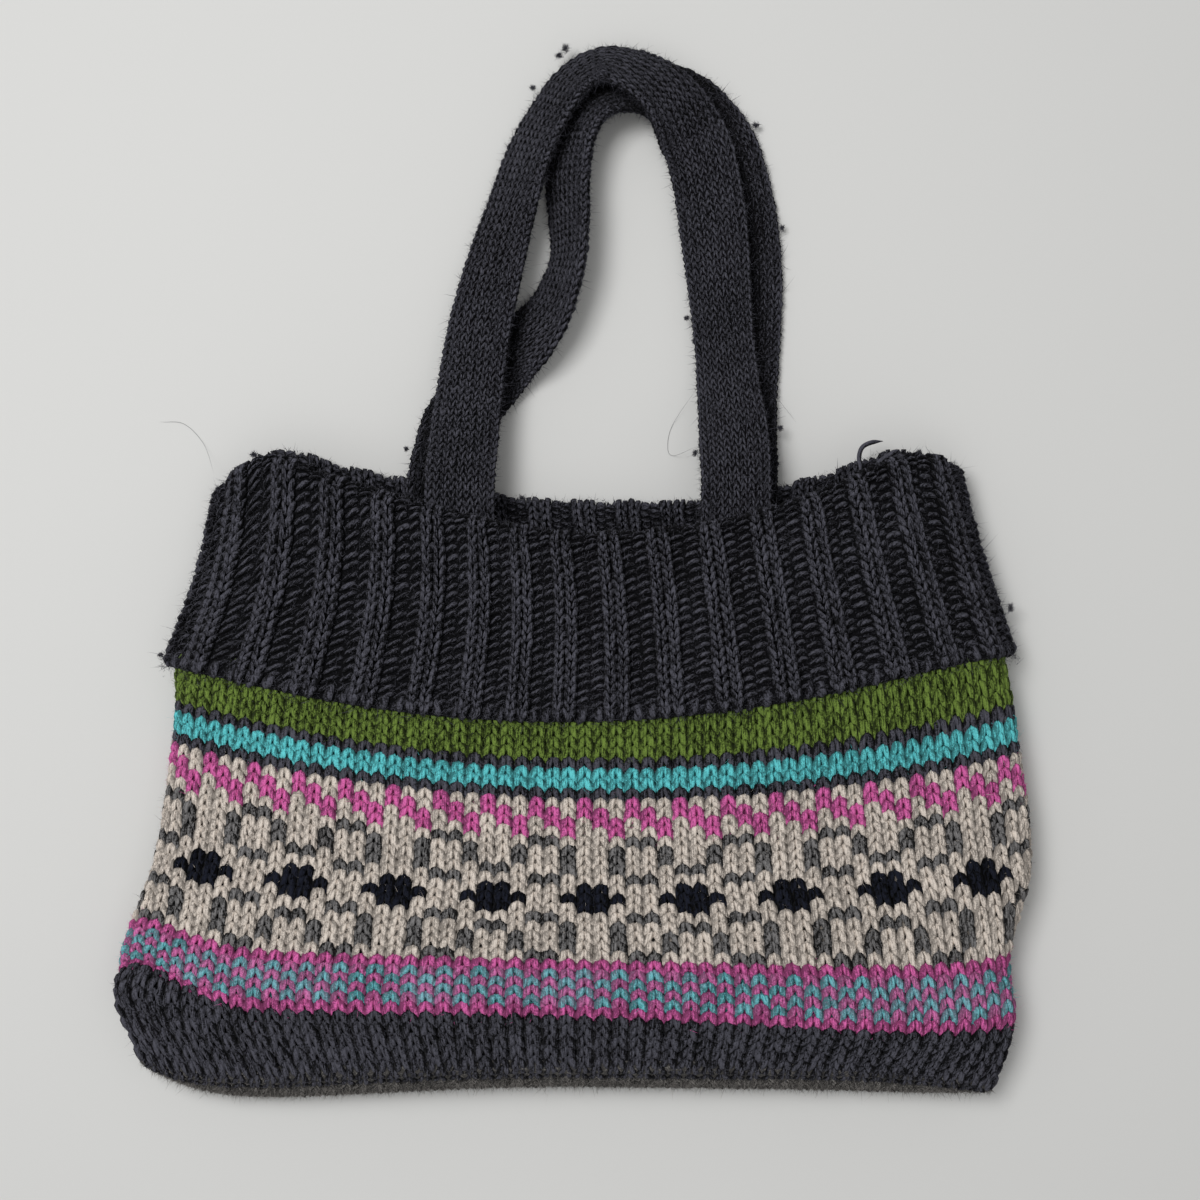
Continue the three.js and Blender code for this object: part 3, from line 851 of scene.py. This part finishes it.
    def build(self, name, material):
        """Makes the Blender object, with a map of places along the yarn and a map for baking."""
        verts = np.concatenate(self.verts)
        tris = np.concatenate(self.tris)
        yarn = np.concatenate(self.yarn)
        units = np.concatenate(self.units)
        wide = math.ceil(math.sqrt(self.cells))
        cell = np.stack([units % wide, units // wide], 1)
        bake = (cell + CELL_MARGIN + (1 - 2 * CELL_MARGIN) * yarn) / wide
        obj = mesh_object(name, verts, tris, {"yarn": yarn, "OFBake": bake}, [material])
        for title, values in (("tone", self.tone), ("veil", self.veil)):
            layer = obj.data.attributes.new(title, "FLOAT", "POINT")
            layer.data.foreach_set("value", np.concatenate(values).astype(np.float32))
        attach(obj, "root")


def mesh_object(name, verts, tris, maps, materials, slots=None):
    """A smooth object of triangles, with its maps, its materials and the material of each face."""
    mesh = bpy.data.meshes.new(name)
    mesh.vertices.add(len(verts))
    mesh.vertices.foreach_set("co", np.asarray(verts, np.float32).ravel())
    mesh.loops.add(len(tris) * 3)
    mesh.loops.foreach_set("vertex_index", np.asarray(tris, np.int32).ravel())
    mesh.polygons.add(len(tris))
    mesh.polygons.foreach_set("loop_start", np.arange(0, len(tris) * 3, 3, dtype=np.int32))
    for title, places in maps.items():
        layer = mesh.uv_layers.new(name=title)
        layer.uv.foreach_set("vector", np.asarray(places, np.float32).ravel())
    for material in materials:
        mesh.materials.append(material)
    if slots is not None:
        mesh.polygons.foreach_set("material_index", np.asarray(slots, np.int32))
    mesh.update(calc_edges=True)
    mesh.shade_smooth()
    obj = bpy.data.objects.new(name, mesh)
    bpy.context.scene.collection.objects.link(obj)
    return obj


def backing_object(name, verts, tris, materials, slots=None, flank=BACKING_FLANK):
    """Fabric under the stitches, all in the painted shade that yarn has at one place on its flank."""
    places = np.full((len(tris) * 3, 2), flank)
    return mesh_object(name, verts, tris, {"yarn": places}, materials, slots)


def grid_cells(columns, rows):
    """Middles of the stitches in some columns and rows, row by row."""
    across, down = np.meshgrid(columns, rows)
    return np.stack([across.ravel() + 0.5, down.ravel() + 0.5], 1)


def hoop_tris(loops, count, joined=True):
    """Faces of loops of equal length, the last joined to the first or not."""
    j, k = np.meshgrid(np.arange(loops), np.arange(count), indexing="ij")
    here, after = j * count + k, j * count + (k + 1) % count
    below = (j + 1) % loops * count
    under, beyond = below + k, below + (k + 1) % count
    tris = np.stack([here, after, under, after, beyond, under], -1).reshape(-1, 3)
    return tris if joined else tris[: -2 * count]


def slab_tris(high, wide):
    """Faces of a closed slab between two grids of points."""
    front = np.arange(high * wide).reshape(high, wide)
    a, b, c, d = front[:-1, :-1], front[:-1, 1:], front[1:, 1:], front[1:, :-1]
    e, f, g, h = (corner + front.size for corner in (a, b, c, d))
    tris = np.stack([a, c, b, a, d, c, e, f, g, e, g, h], -1).reshape(-1, 3)
    rim = np.concatenate([front[0], front[1:, -1], front[-1, -2::-1], front[-2:0:-1, 0]])
    after = np.roll(rim, -1)
    under, beyond = rim + front.size, after + front.size
    return np.concatenate([tris, np.stack([rim, after, beyond, rim, beyond, under], -1).reshape(-1, 3)])


# Wool


class Wool:
    """Builds one matte wool: dye that changes by the stitch, twisted plies and flecks, and their bump."""

    def __init__(self, title, colour, dark, light, veil):
        self.material = bpy.data.materials.new(title)
        self.material.use_nodes = True
        self.nodes = self.material.node_tree.nodes
        self.links = self.material.node_tree.links
        shader = self.nodes["Principled BSDF"]
        shader.inputs["Roughness"].default_value = 0.95
        shader.inputs["Specular IOR Level"].default_value = 0.06
        shader.inputs["Sheen Weight"].default_value = 0.2
        shader.inputs["Sheen Roughness"].default_value = 0.6
        shader.inputs["Sheen Tint"].default_value = tuple(min(1, 0.1 + 0.8 * c) for c in colour) + (1,)
        where = self.nodes.new("ShaderNodeTexCoord").outputs["Object"]
        grain = self.noise(where, GRAIN_SCALE, 3, 0.7)
        patch = self.noise(where, PATCH_SCALE, 2, 0.5)
        tone = self.attribute("tone")
        twisted, strand, flank = self.twist(tone)
        streak = self.noise(strand, 1.0, 3, 0.65)
        # Painted shade: the colour darkens down each yarn's flanks
        level = self.sum(
            (patch, PATCH_SHARE), (tone, TONE_SHARE), (grain, GRAIN_SHARE), (streak, STREAK_SHARE),
            (flank, -FLANK_SHADE),
        )
        ramp = self.nodes.new("ShaderNodeValToRGB")
        ramp.color_ramp.elements[0].position = 0.30
        ramp.color_ramp.elements[1].position = 0.85
        ramp.color_ramp.elements[0].color = tuple(c * dark for c in colour) + (1,)
        ramp.color_ramp.elements[1].color = tuple(min(1, c * light) for c in colour) + (1,)
        self.links.new(self.math("SUBTRACT", level, LEVEL_ZERO), ramp.inputs["Fac"])
        dyed = ramp.outputs["Color"]
        if veil:
            dyed = self.veiled(dyed, veil, grain, patch)
        self.links.new(dyed, shader.inputs["Base Color"])
        height = self.sum((twisted, 0.35), (grain, 0.9), (streak, 0.6))
        bump = self.node("ShaderNodeBump", Strength=0.7, Distance=0.7 * MM, Height=height)
        self.links.new(bump.outputs["Normal"], shader.inputs["Normal"])

    def veiled(self, dyed, colour, grain, patch):
        """Another yarn's fibres over this one, thick in some places and thin in others."""
        cover = self.math("SUBTRACT", self.sum((grain, VEIL_GRAIN), (patch, VEIL_PATCH)), VEIL_ZERO)
        mix = self.nodes.new("ShaderNodeMix")
        mix.data_type = "RGBA"
        self.links.new(self.math("MULTIPLY", cover, self.attribute("veil")), mix.inputs["Factor"])
        self.links.new(dyed, mix.inputs["A"])
        mix.inputs["B"].default_value = colour + (1,)
        return mix.outputs["Result"]

    def attribute(self, name):
        node = self.nodes.new("ShaderNodeAttribute")
        node.attribute_name = name
        return node.outputs["Fac"]

    def feed(self, socket, value):
        """Sets an input to a number, or links it."""
        if isinstance(value, (int, float)):
            socket.default_value = value
        else:
            self.links.new(value, socket)

    def node(self, kind, **inputs):
        node = self.nodes.new(kind)
        for name, value in inputs.items():
            self.feed(node.inputs[name], value)
        return node

    def noise(self, where, scale, detail, rough):
        node = self.node("ShaderNodeTexNoise", Vector=where, Scale=scale, Detail=detail, Roughness=rough)
        return node.outputs["Fac"]

    def math(self, operation, *values):
        node = self.nodes.new("ShaderNodeMath")
        node.operation = operation
        for socket, value in zip(node.inputs, values):
            self.feed(socket, value)
        return node.outputs[0]

    def sum(self, *shares):
        total = 0.0
        for value, share in shares:
            total = self.math("MULTIPLY_ADD", value, share, total)
        return total

    def twist(self, tone):
        """The ply wave round the yarn, a place for fibres that run along it, and how far down its flank for
        the painted shade.
        """
        place = self.nodes.new("ShaderNodeUVMap")
        place.uv_map = "yarn"
        round_it, along_it, _ = self.node("ShaderNodeSeparateXYZ", Vector=place.outputs["UV"]).outputs
        turn = self.math("MULTIPLY_ADD", along_it, -TWIST, round_it)
        wave = self.math("SINE", self.math("MULTIPLY", turn, 2 * math.pi * PLIES))
        scaled = [self.math("MULTIPLY", *pair) for pair in zip((turn, along_it, tone), FIBRE_SCALES)]
        strand = self.node("ShaderNodeCombineXYZ", **dict(zip("XYZ", scaled)))
        lean = self.math("SUBTRACT", round_it, 0.5 + FLANK_TURN)
        flank = self.math("MULTIPLY", self.math("MULTIPLY", lean, lean), 4)
        return wave, strand.outputs[0], flank


def yarn(title):
    """The wool material of one yarn, made once."""
    found = bpy.data.materials.get(f"wool_{title}")
    if found:
        return found
    yarns = bpy.context.scene.knit_bag_yarns
    veil = tuple(getattr(yarns, VEIL_OF[title][0])) if title in VEIL_OF else None
    return Wool(f"wool_{title}", tuple(getattr(yarns, title)), *HEATHER[title], veil).material


def body_warp(columns, rows):
    """Face columns where stitch columns lie: straight down the middle, and wider apart at the base."""
    columns = np.asarray(columns, float)
    rows = np.asarray(rows, float)
    middle = (along(BODY["row"], BODY["left"], rows) + along(BODY["row"], BODY["right"], rows)) / 2
    straight = (MIDDLE_X - middle) / COLUMN_WIDTH
    spread = BASE_SPREAD * np.clip((rows - SPREAD_START) / SPREAD_ROWS, 0, 1)
    away = columns - CHART_MIDDLE
    return BODY_COLUMNS / 4 + away + straight + spread * np.sin(2 * math.pi * away / BODY_COLUMNS)


class WarpedFace:
    """The body's face read by stitch columns, with or without the rows drawn up beside the dart."""

    def __init__(self, face, drawn_up):
        self.face = face
        self.drawn_up = drawn_up

    def read(self, columns, rows):
        columns = body_warp(columns, rows)
        if self.drawn_up:
            rows = rows - dart_lift(columns, rows)
        return self.face.read(columns, np.minimum(rows, LAST_ROW))


def chart_letter(column, row):
    return CHART[row - CHART_TOP][(column - CHART_SHIFT) % REPEAT]


def charted_cells(letter):
    """Stitches of one yarn in the charted rows."""
    cells = [
        (column + 0.5, row + 0.5)
        for row in range(CHART_TOP, BASE_ROW)
        for column in range(BODY_COLUMNS)
        if chart_letter(column, row) == letter
    ]
    return np.array(cells)


def base_cells():
    """Stitches of the plain base, which reaches up into the dart."""
    cells = []
    for column in range(BODY_COLUMNS):
        first = BASE_ROW - float(dart_lift(body_warp(column + 0.5, BASE_ROW), BASE_ROW))
        cells += [(column + 0.5, row + 0.5) for row in range(math.floor(first + 0.3), CHART_END)]
    return np.array(cells)


def edge_fuzz(columns, period):
    """More fibres beside the two folds where the fabric turns over."""
    away = np.mod(np.asarray(columns), period / 2)
    return np.where(np.minimum(away, period / 2 - away) < EDGE_REACH, EDGE_FUZZ, 1.0)


def seeded(step):
    return np.random.default_rng(bpy.context.scene.knit_bag_sizes.seed * 100 + step)


# Operators


class KNITBAG_OT_backing(bpy.types.Operator):
    """Closed fabric under the body's stitches, coloured as they are"""

    bl_idname = "knit_bag.backing"
    bl_label = "Body backing"

    def execute(self, context):
        depth = context.scene.knit_bag_sizes.body_stitch / MM
        rows = np.arange(CHART_TOP, CHART_END + 1)
        face = body_face(depth - SINK)
        columns = np.arange(BODY_COLUMNS)
        outer = [face.read(columns, np.full(BODY_COLUMNS, row))[0] for row in rows]
        inner = [to_frame(ring_points(inset(ring_at(BODY, row), WALL), BODY_COLUMNS)) for row in rows[::-1]]
        loops = np.array((outer + inner)[::-1])
        tris = hoop_tris(len(loops), BODY_COLUMNS)
        letters = list(YARN_OF)
        order = np.arange(len(loops))[::-1]
        slots = []
        for loop in range(len(loops)):
            row = order[(loop + 1) % len(loops)]
            row = min(row, 2 * len(rows) - 1 - row)
            row = int(rows[min(row, len(CHART) - 1)])
            lag = body_warp(CHART_MIDDLE, row) - CHART_MIDDLE
            for column in range(BODY_COLUMNS):
                read = min(row + round(float(dart_lift(column + 0.5, row))), CHART_END - 1)
                slots += [letters.index(chart_letter(int(math.floor(column + 0.5 - lag)), read))] * 2
        wools = [yarn(YARN_OF[letter]) for letter in letters]
        obj = backing_object("body_backing", loops.reshape(-1, 3), tris, wools, slots)
        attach(obj, "root")
        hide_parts("body")
        return {"FINISHED"}


class KNITBAG_OT_body(bpy.types.Operator):
    """The body's stitches, one piece for each yarn of the charted bands"""

    bl_idname = "knit_bag.body"
    bl_label = "Body stitches"

    def execute(self, context):
        sizes = context.scene.knit_bag_sizes
        height = sizes.body_stitch
        body = body_face(height / MM)
        drawn_up, straight = WarpedFace(body, True), WarpedFace(body, False)
        rng = seeded(1)
        for letter, title in YARN_OF.items():
            knit = Knit()
            charted = charted_cells(letter)
            veil = np.isin(np.floor(charted[:, 1]), CHECK_ROWS) * VEIL_OF.get(title, ("", 0))[1]
            # Painted shade on the check and the bands below it
            shade = BAND_SHADE * (charted[:, 1] > CHECK_ROWS[0] - 1)
            self.stitches(knit, drawn_up, charted, sizes, rng, veil, shade)
            if title == "charcoal":
                base = base_cells()
                self.stitches(knit, straight, base, sizes, rng, 0, 0)
                knit.fuzz(straight, base, BASE_FUZZ, height, sizes.hair_length * BASE_HAIR, rng)
            knit.build(f"body_{title}", yarn(title))
        return {"FINISHED"}

    def stitches(self, knit, face, cells, sizes, rng, veil, shade):
        """Both legs of each stitch and the fuzz on it, finer on the front."""
        height = sizes.body_stitch
        place = np.mod(body_warp(cells[:, 0], cells[:, 1]), BODY_COLUMNS)
        on_front = (place < BODY_COLUMNS / 2 + 2) | (place > BODY_COLUMNS - 2)
        veil, shade = np.broadcast_to(veil, len(cells)), np.broadcast_to(shade, len(cells))
        for showing, pair in ((on_front, legs(5, 5, BODY_ASPECT)), (~on_front, legs(3, 2, BODY_ASPECT))):
            for leg in pair:
                knit.add(face, cells[showing], leg, height, rng, veil=veil[showing], shade=shade[showing])
        share = np.where(on_front, 5.0, 1.5) * edge_fuzz(place, BODY_COLUMNS) * sizes.hairs_per_stitch
        knit.fuzz(face, cells, rng.poisson(share), height, sizes.hair_length * BODY_HAIR, rng)


class KNITBAG_OT_gusset(bpy.types.Operator):
    """The slanted bottom strip: felted knit in a paler yarn, under the last rows of the base's knit"""

    bl_idname = "knit_bag.gusset"
    bl_label = "Base gusset"

    def execute(self, context):
        sizes = context.scene.knit_bag_sizes
        rng = seeded(2)
        face = gusset_face(0)
        high, wide = face.points.shape[:2]
        front = face.points + face.normals * rng.normal(0, GUSSET_UNEVEN * MM, (high, wide, 1))
        inner = face.points + np.array([0, WALL * MM, 0])
        verts = over_table(np.concatenate([front, inner])).reshape(-1, 3)
        obj = backing_object("gusset_backing", verts, slab_tris(high, wide), [yarn("ash")], flank=FELT_FLANK)
        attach(obj, "root")
        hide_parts("base_gusset")
        cells = grid_cells(np.arange(1, BODY_COLUMNS // 2 - 1), np.arange(GUSSET_ROWS))
        on_top = cells[:, 1] < GUSSET_KNIT
        upper, lower = cells[on_top], cells[~on_top]
        felt = Knit()
        for leg in legs(3, 3, BODY_ASPECT):
            felt.add(gusset_face(FELT_DEPTH), lower, leg, FELT_LIFT * sizes.body_stitch, rng)
        felt.fuzz(face, lower, GUSSET_FUZZ, FELT_DEPTH * MM, sizes.hair_length * GUSSET_HAIR, rng)
        felt.build("gusset_felt", yarn("ash"))
        knit = Knit()
        run_on = gusset_face(RUN_ON_DEPTH)
        for leg in legs(4, 3, BODY_ASPECT):
            knit.add(run_on, upper, leg, sizes.body_stitch, rng)
        knit.fuzz(run_on, upper, BASE_FUZZ, sizes.body_stitch, sizes.hair_length * BASE_HAIR, rng)
        knit.build("gusset_knit", yarn("charcoal"))
        return {"FINISHED"}


class KNITBAG_OT_cuff(bpy.types.Operator):
    """The folded two-and-two rib collar: backing, knit pairs, purl troughs and the cast-off hem"""

    bl_idname = "knit_bag.cuff"
    bl_label = "Ribbed cuff"

    def execute(self, context):
        sizes = context.scene.knit_bag_sizes
        self.backing(sizes.cuff_stitch / MM)
        height = sizes.cuff_stitch
        knit_height = height * KNIT_LIFT
        face = cuff_face(height / MM)
        rng = seeded(3)
        turn = int((FOLD_ROW + FOLD_ROWS / 2) / CUFF_ROW)
        last = int(CUFF_ROWS / CUFF_ROW)
        fine = legs(4, 4, CUFF_ASPECT, RIB_LEG_PATH, RIB_LEG_RADII)
        plain = legs(3, 2, CUFF_ASPECT, RIB_LEG_PATH, RIB_LEG_RADII)
        purl = spindle(PURL_PATH, PURL_RADII, 5, STOPS[5], CUFF_ASPECT)
        plain_purl = spindle(PURL_PATH, PURL_RADII, 3, STOPS[3], CUFF_ASPECT)
        hem = spindle(HEM_PATH, HEM_RADII, 5, STOPS[4], CUFF_ASPECT)
        for title in ("cuff_front", "cuff_back"):
            knit = Knit()
            on_front = title == "cuff_front"
            front = [c < CUFF_COLUMNS / 2 + 2 or c > CUFF_COLUMNS - 3 for c in range(CUFF_COLUMNS)]
            columns = [c for c in range(CUFF_COLUMNS) if front[c] == on_front]
            outside, inside = range(turn), range(turn, last)
            for rows, showing, swapped in ((outside, on_front, 0), (inside, not on_front, 2)):
                cells = np.array([(c + 0.5, (row + 0.5) * CUFF_ROW) for c in columns for row in rows])
                raised = np.mod(np.floor(cells[:, 0]) + 1 + swapped, RIB_PERIOD) < 2
                # Painted shade on the far layer's lobe, darkest as a painted crease shadow at its edge
                lobe = self.lobe(face, cells) * (on_front and showing)
                for leg in fine if showing else plain:
                    knit.add(face, cells[raised], leg, knit_height, rng, CUFF_ROW, shade=lobe[raised])
                at_rim = np.abs(cells[:, 1] - RIM_ROW) < RIM_REACH
                for here, lift in ((~raised & ~at_rim, PURL_LIFT), (~raised & at_rim, RIM_LIFT)):
                    # Purl stitches get painted shade, with the lobe's painted shade added
                    sunk, shade = cells[here], PURL_SHADE + lobe[here]
                    slant = PURL_SLANT * np.clip(1.05 - 1.25 * sunk[:, 0] / (CUFF_COLUMNS / 2), -0.2, 1)
                    stagger = np.mod(np.floor(sunk[:, :1]), 2) * (0, 0.5 * CUFF_ROW)
                    knit.add(
                        face, sunk + stagger, purl if showing else plain_purl, height * lift, rng,
                        CUFF_ROW, PURL_WANDER, slant=slant, shade=shade,
                    )
                share = sizes.hairs_per_stitch * (5 if showing else 2) * edge_fuzz(cells[:, 0], CUFF_COLUMNS)
                knit.fuzz(face, cells, rng.poisson(share), knit_height, sizes.hair_length * CUFF_HAIR, rng)
            edge = np.array([(column + 0.5, 0.1) for column in columns])
            knit.add(face, edge, hem, height, rng, wander=HEM_WANDER)
            knit.fuzz(face, edge, HEM_FUZZ[not on_front], height, sizes.hair_length * HEM_HAIR, rng)
            if on_front:
                knit.strand(TAIL, TAIL_RADIUS)
                knit.strand(STUB, STUB_RADIUS)
                for path in CUFF_STRAYS:
                    knit.strand(path, STRAY_RADIUS)
                for place in CUFF_PILLS:
                    knit.pill(*place, rng)
            knit.build(title, yarn("charcoal"))
        return {"FINISHED"}

    def lobe(self, face, cells):
        """Painted shade on the far layer's lobe over the front layer's edge right of the straps, darkest at
        that edge.
        """
        x, y, _ = face.read(cells[:, 0], cells[:, 1])[0].T / MM
        over = y - np.interp(x, LOBE_X, LOBE_Y)
        inside = (x > LOBE_X[0]) & (x < LOBE_X[1]) & (over > 0)
        return inside * (LOBE_SHADE + LOBE_CREASE_SHADE * bell(over / LOBE_REACH))

    def backing(self, depth):
        """Closed fabric through both layers. Its profile holds rows, depths, rises and shares of the rib."""
        under = depth - SINK
        inner = CUFF_INNER - under
        profile = [(row, under, 0, 1) for row in (0, 4, 8, 12, 16, FOLD_ROW)]
        reach = CUFF_INNER / 2 - under
        for turn in (45, 90, 135):
            angle = math.radians(turn)
            profile.append((FOLD_ROW, CUFF_INNER / 2 - reach * math.cos(angle), reach * math.sin(angle), 0.3))
        profile += [(FOLD_ROW, inner, 0, 0), (10, inner, 0, 0), (JOIN_ROW, inner, 0.35, 0)]
        profile += [(JOIN_ROW, UPRIGHT_INSET, 0.35, 0), (SLOT_ROW, UPRIGHT_INSET, 0, 0)]
        profile += [(SLOT_ROW, WALL, 0, 0), (9, WALL, 0, 0)]
        profile += [(0, WALL, -HEM_ROUND, 0), (0, under + 0.6, -HEM_ROUND, 0.6)]
        columns = np.arange(CUFF_COLUMNS)
        share = rib_share(columns)[:, None]
        loops = []
        for row, deep, rise, rib in profile:
            points = cuff_ring(ring_at(CUFF, row), columns, 1, deep, share * rib)
            points[:, 1] += rise
            loops.append(points)
        tris = hoop_tris(len(loops), CUFF_COLUMNS)
        verts = to_frame(np.array(loops).reshape(-1, 3))
        obj = backing_object("cuff_backing", verts, tris, [yarn("charcoal")])
        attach(obj, "root")
        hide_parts("rib_cuff")


class KNITBAG_OT_straps(bpy.types.Operator):
    """Both flat knitted straps, with their stitches running along them"""

    bl_idname = "knit_bag.straps"
    bl_label = "Straps"

    def execute(self, context):
        sizes = context.scene.knit_bag_sizes
        height = sizes.strap_stitch
        upper = legs(4, 3, STRAP_ASPECT, STRAP_LEG_PATH, STRAP_LEG_RADII)
        under = legs(3, 2, STRAP_ASPECT, STRAP_LEG_PATH, STRAP_LEG_RADII)
        for step, (title, table) in enumerate((("strap_front", STRAP_FRONT), ("strap_back", STRAP_BACK))):
            rng = seeded(4 + step)
            face, rows = strap_face(table, height / MM)
            knit = Knit()
            cells = grid_cells(np.arange(STRAP_COLUMNS), np.arange(rows))
            top = cells[:, 0] < STRAP_COLUMNS / 2 + 1
            # Painted shade on the back strap's stitches in the crease beside the front strap
            shade = self.crease_shade(face, cells[top]) if title == "strap_back" else 0
            for leg in upper:
                knit.add(face, cells[top], leg, height, rng, shade=shade, vary=STRAP_VARY)
            for leg in under:
                knit.add(face, cells[~top], leg, height, rng)
            share = sizes.hairs_per_stitch * np.where(top, 3.5, 1.2) * edge_fuzz(cells[:, 0], STRAP_COLUMNS)
            knit.fuzz(face, cells, rng.poisson(share), height, sizes.hair_length * STRAP_HAIR, rng)
            for path in STRAP_STRAYS[title]:
                knit.strand(path, STRAY_RADIUS)
            for place in STRAP_PILLS[title]:
                knit.pill(*place, rng)
            knit.build(f"{title}_knit", yarn("charcoal"))
            self.backing(title, table, height / MM - STRAP_SINK)
        return {"FINISHED"}

    def crease_shade(self, face, cells):
        """Painted shade on each stitch of the back strap, darkest in the crease beside the front strap's
        edges.
        """
        at = face.read(cells[:, 0], cells[:, 1])[0]
        front, _ = strap_face(STRAP_FRONT, 0)
        edges = front.points[:, [0, front.points.shape[1] // 2], :2].reshape(-1, 1, 2)
        away = np.linalg.norm(edges - at[None, :, :2], axis=2).min(0) / MM
        return CREASE_SHADE * np.clip(1 - away / CREASE_REACH, 0, 1) ** CREASE_POWER

    def backing(self, title, table, depth):
        """Closed fabric under the strap's stitches, with a fan of faces over each end."""
        points = strap_face(table, depth)[0].points[::4, ::2]
        loops, count = points.shape[:2]
        fan = np.array([(0, k, k + 1) for k in range(1, count - 1)])
        far_end = fan[:, [0, 2, 1]] + (loops - 1) * count
        tris = np.concatenate([hoop_tris(loops, count, False)[:, ::-1], fan, far_end])
        obj = backing_object(f"{title}_backing", points.reshape(-1, 3), tris, [yarn("charcoal")])
        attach(obj, "root")
        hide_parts(title)


class KNITBAG_OT_stage(bpy.types.Operator):
    """Pale table, soft light from the upper left and the camera straight above"""

    bl_idname = "knit_bag.stage"
    bl_label = "Stage"

    def execute(self, context):
        stage = context.scene.knit_bag_stage
        self.table(tuple(stage.table_colour))
        self.light("key_light", stage.key_power, *KEY_LIGHT)
        self.light("fill_light", stage.fill_power, *FILL_LIGHT)
        world = bpy.data.worlds.new("room")
        world.use_nodes = True
        world.node_tree.nodes["Background"].inputs["Color"].default_value = (1, 1, 1, 1)
        world.node_tree.nodes["Background"].inputs["Strength"].default_value = stage.sky
        context.scene.world = world
        context.scene.view_settings.view_transform = "Standard"
        self.camera(context, stage)
        return {"FINISHED"}

    def table(self, colour):
        mesh = bpy.data.meshes.new("table")
        ends = (-TABLE_REACH, TABLE_REACH)
        mesh.from_pydata([(x, y, TABLE_TOP) for y in ends for x in ends], [], [(0, 1, 3, 2)])
        floor = bpy.data.objects.new("table", mesh)
        bpy.context.scene.collection.objects.link(floor)
        mat = bpy.data.materials.new("pale_table")
        mat.use_nodes = True
        shader = mat.node_tree.nodes["Principled BSDF"]
        shader.inputs["Base Color"].default_value = colour + (1,)
        shader.inputs["Roughness"].default_value = 0.75
        shader.inputs["Specular IOR Level"].default_value = 0.15
        mesh.materials.append(mat)

    def light(self, title, power, size, place):
        lamp = bpy.data.lights.new(title, "AREA")
        lamp.energy = power
        lamp.size = size
        obj = bpy.data.objects.new(title, lamp)
        obj.location = place
        obj.rotation_euler = (-Vector(place)).to_track_quat("-Z", "Y").to_euler()
        bpy.context.scene.collection.objects.link(obj)

    def camera(self, context, stage):
        data = bpy.data.cameras.new("camera")
        data.sensor_width = 36
        data.lens = data.sensor_width * stage.camera_height / stage.view_width
        obj = bpy.data.objects.new("camera", data)
        obj.location = (*CAMERA_PLACE, stage.camera_height)
        context.scene.collection.objects.link(obj)
        context.scene.camera = obj


class KNITBAG_PT_panel(bpy.types.Panel):
    """Lists the bag's sizes, yarns and pieces"""

    bl_idname = "KNITBAG_PT_panel"
    bl_label = "Knit Bag"
    bl_space_type = "VIEW_3D"
    bl_region_type = "UI"
    bl_category = "Knit Bag"

    def draw(self, context):
        layout = self.layout
        scene = context.scene
        for group in (scene.knit_bag_sizes, scene.knit_bag_yarns, scene.knit_bag_stage):
            box = layout.box()
            for key in group.__annotations__:
                box.prop(group, key)
        for operator in PIECES:
            layout.operator(operator.bl_idname)


PIECES = (
    KNITBAG_OT_backing, KNITBAG_OT_body, KNITBAG_OT_gusset,
    KNITBAG_OT_cuff, KNITBAG_OT_straps, KNITBAG_OT_stage,
)
GROUPS = {
    "knit_bag_sizes": KnitBagSizes,
    "knit_bag_yarns": KnitBagYarns,
    "knit_bag_stage": KnitBagStage,
}
CLASSES = tuple(GROUPS.values()) + PIECES + (KNITBAG_PT_panel,)


def register():
    for item in CLASSES:
        bpy.utils.register_class(item)
    for name, group in GROUPS.items():
        setattr(bpy.types.Scene, name, bpy.props.PointerProperty(type=group))


def unregister():
    for name in GROUPS:
        delattr(bpy.types.Scene, name)
    for item in reversed(CLASSES):
        bpy.utils.unregister_class(item)


def main():
    register()
    bpy.ops.knit_bag.backing()
    bpy.ops.knit_bag.body()
    bpy.ops.knit_bag.gusset()
    bpy.ops.knit_bag.cuff()
    bpy.ops.knit_bag.straps()
    bpy.ops.knit_bag.stage()


if __name__ == "__main__":
    main()
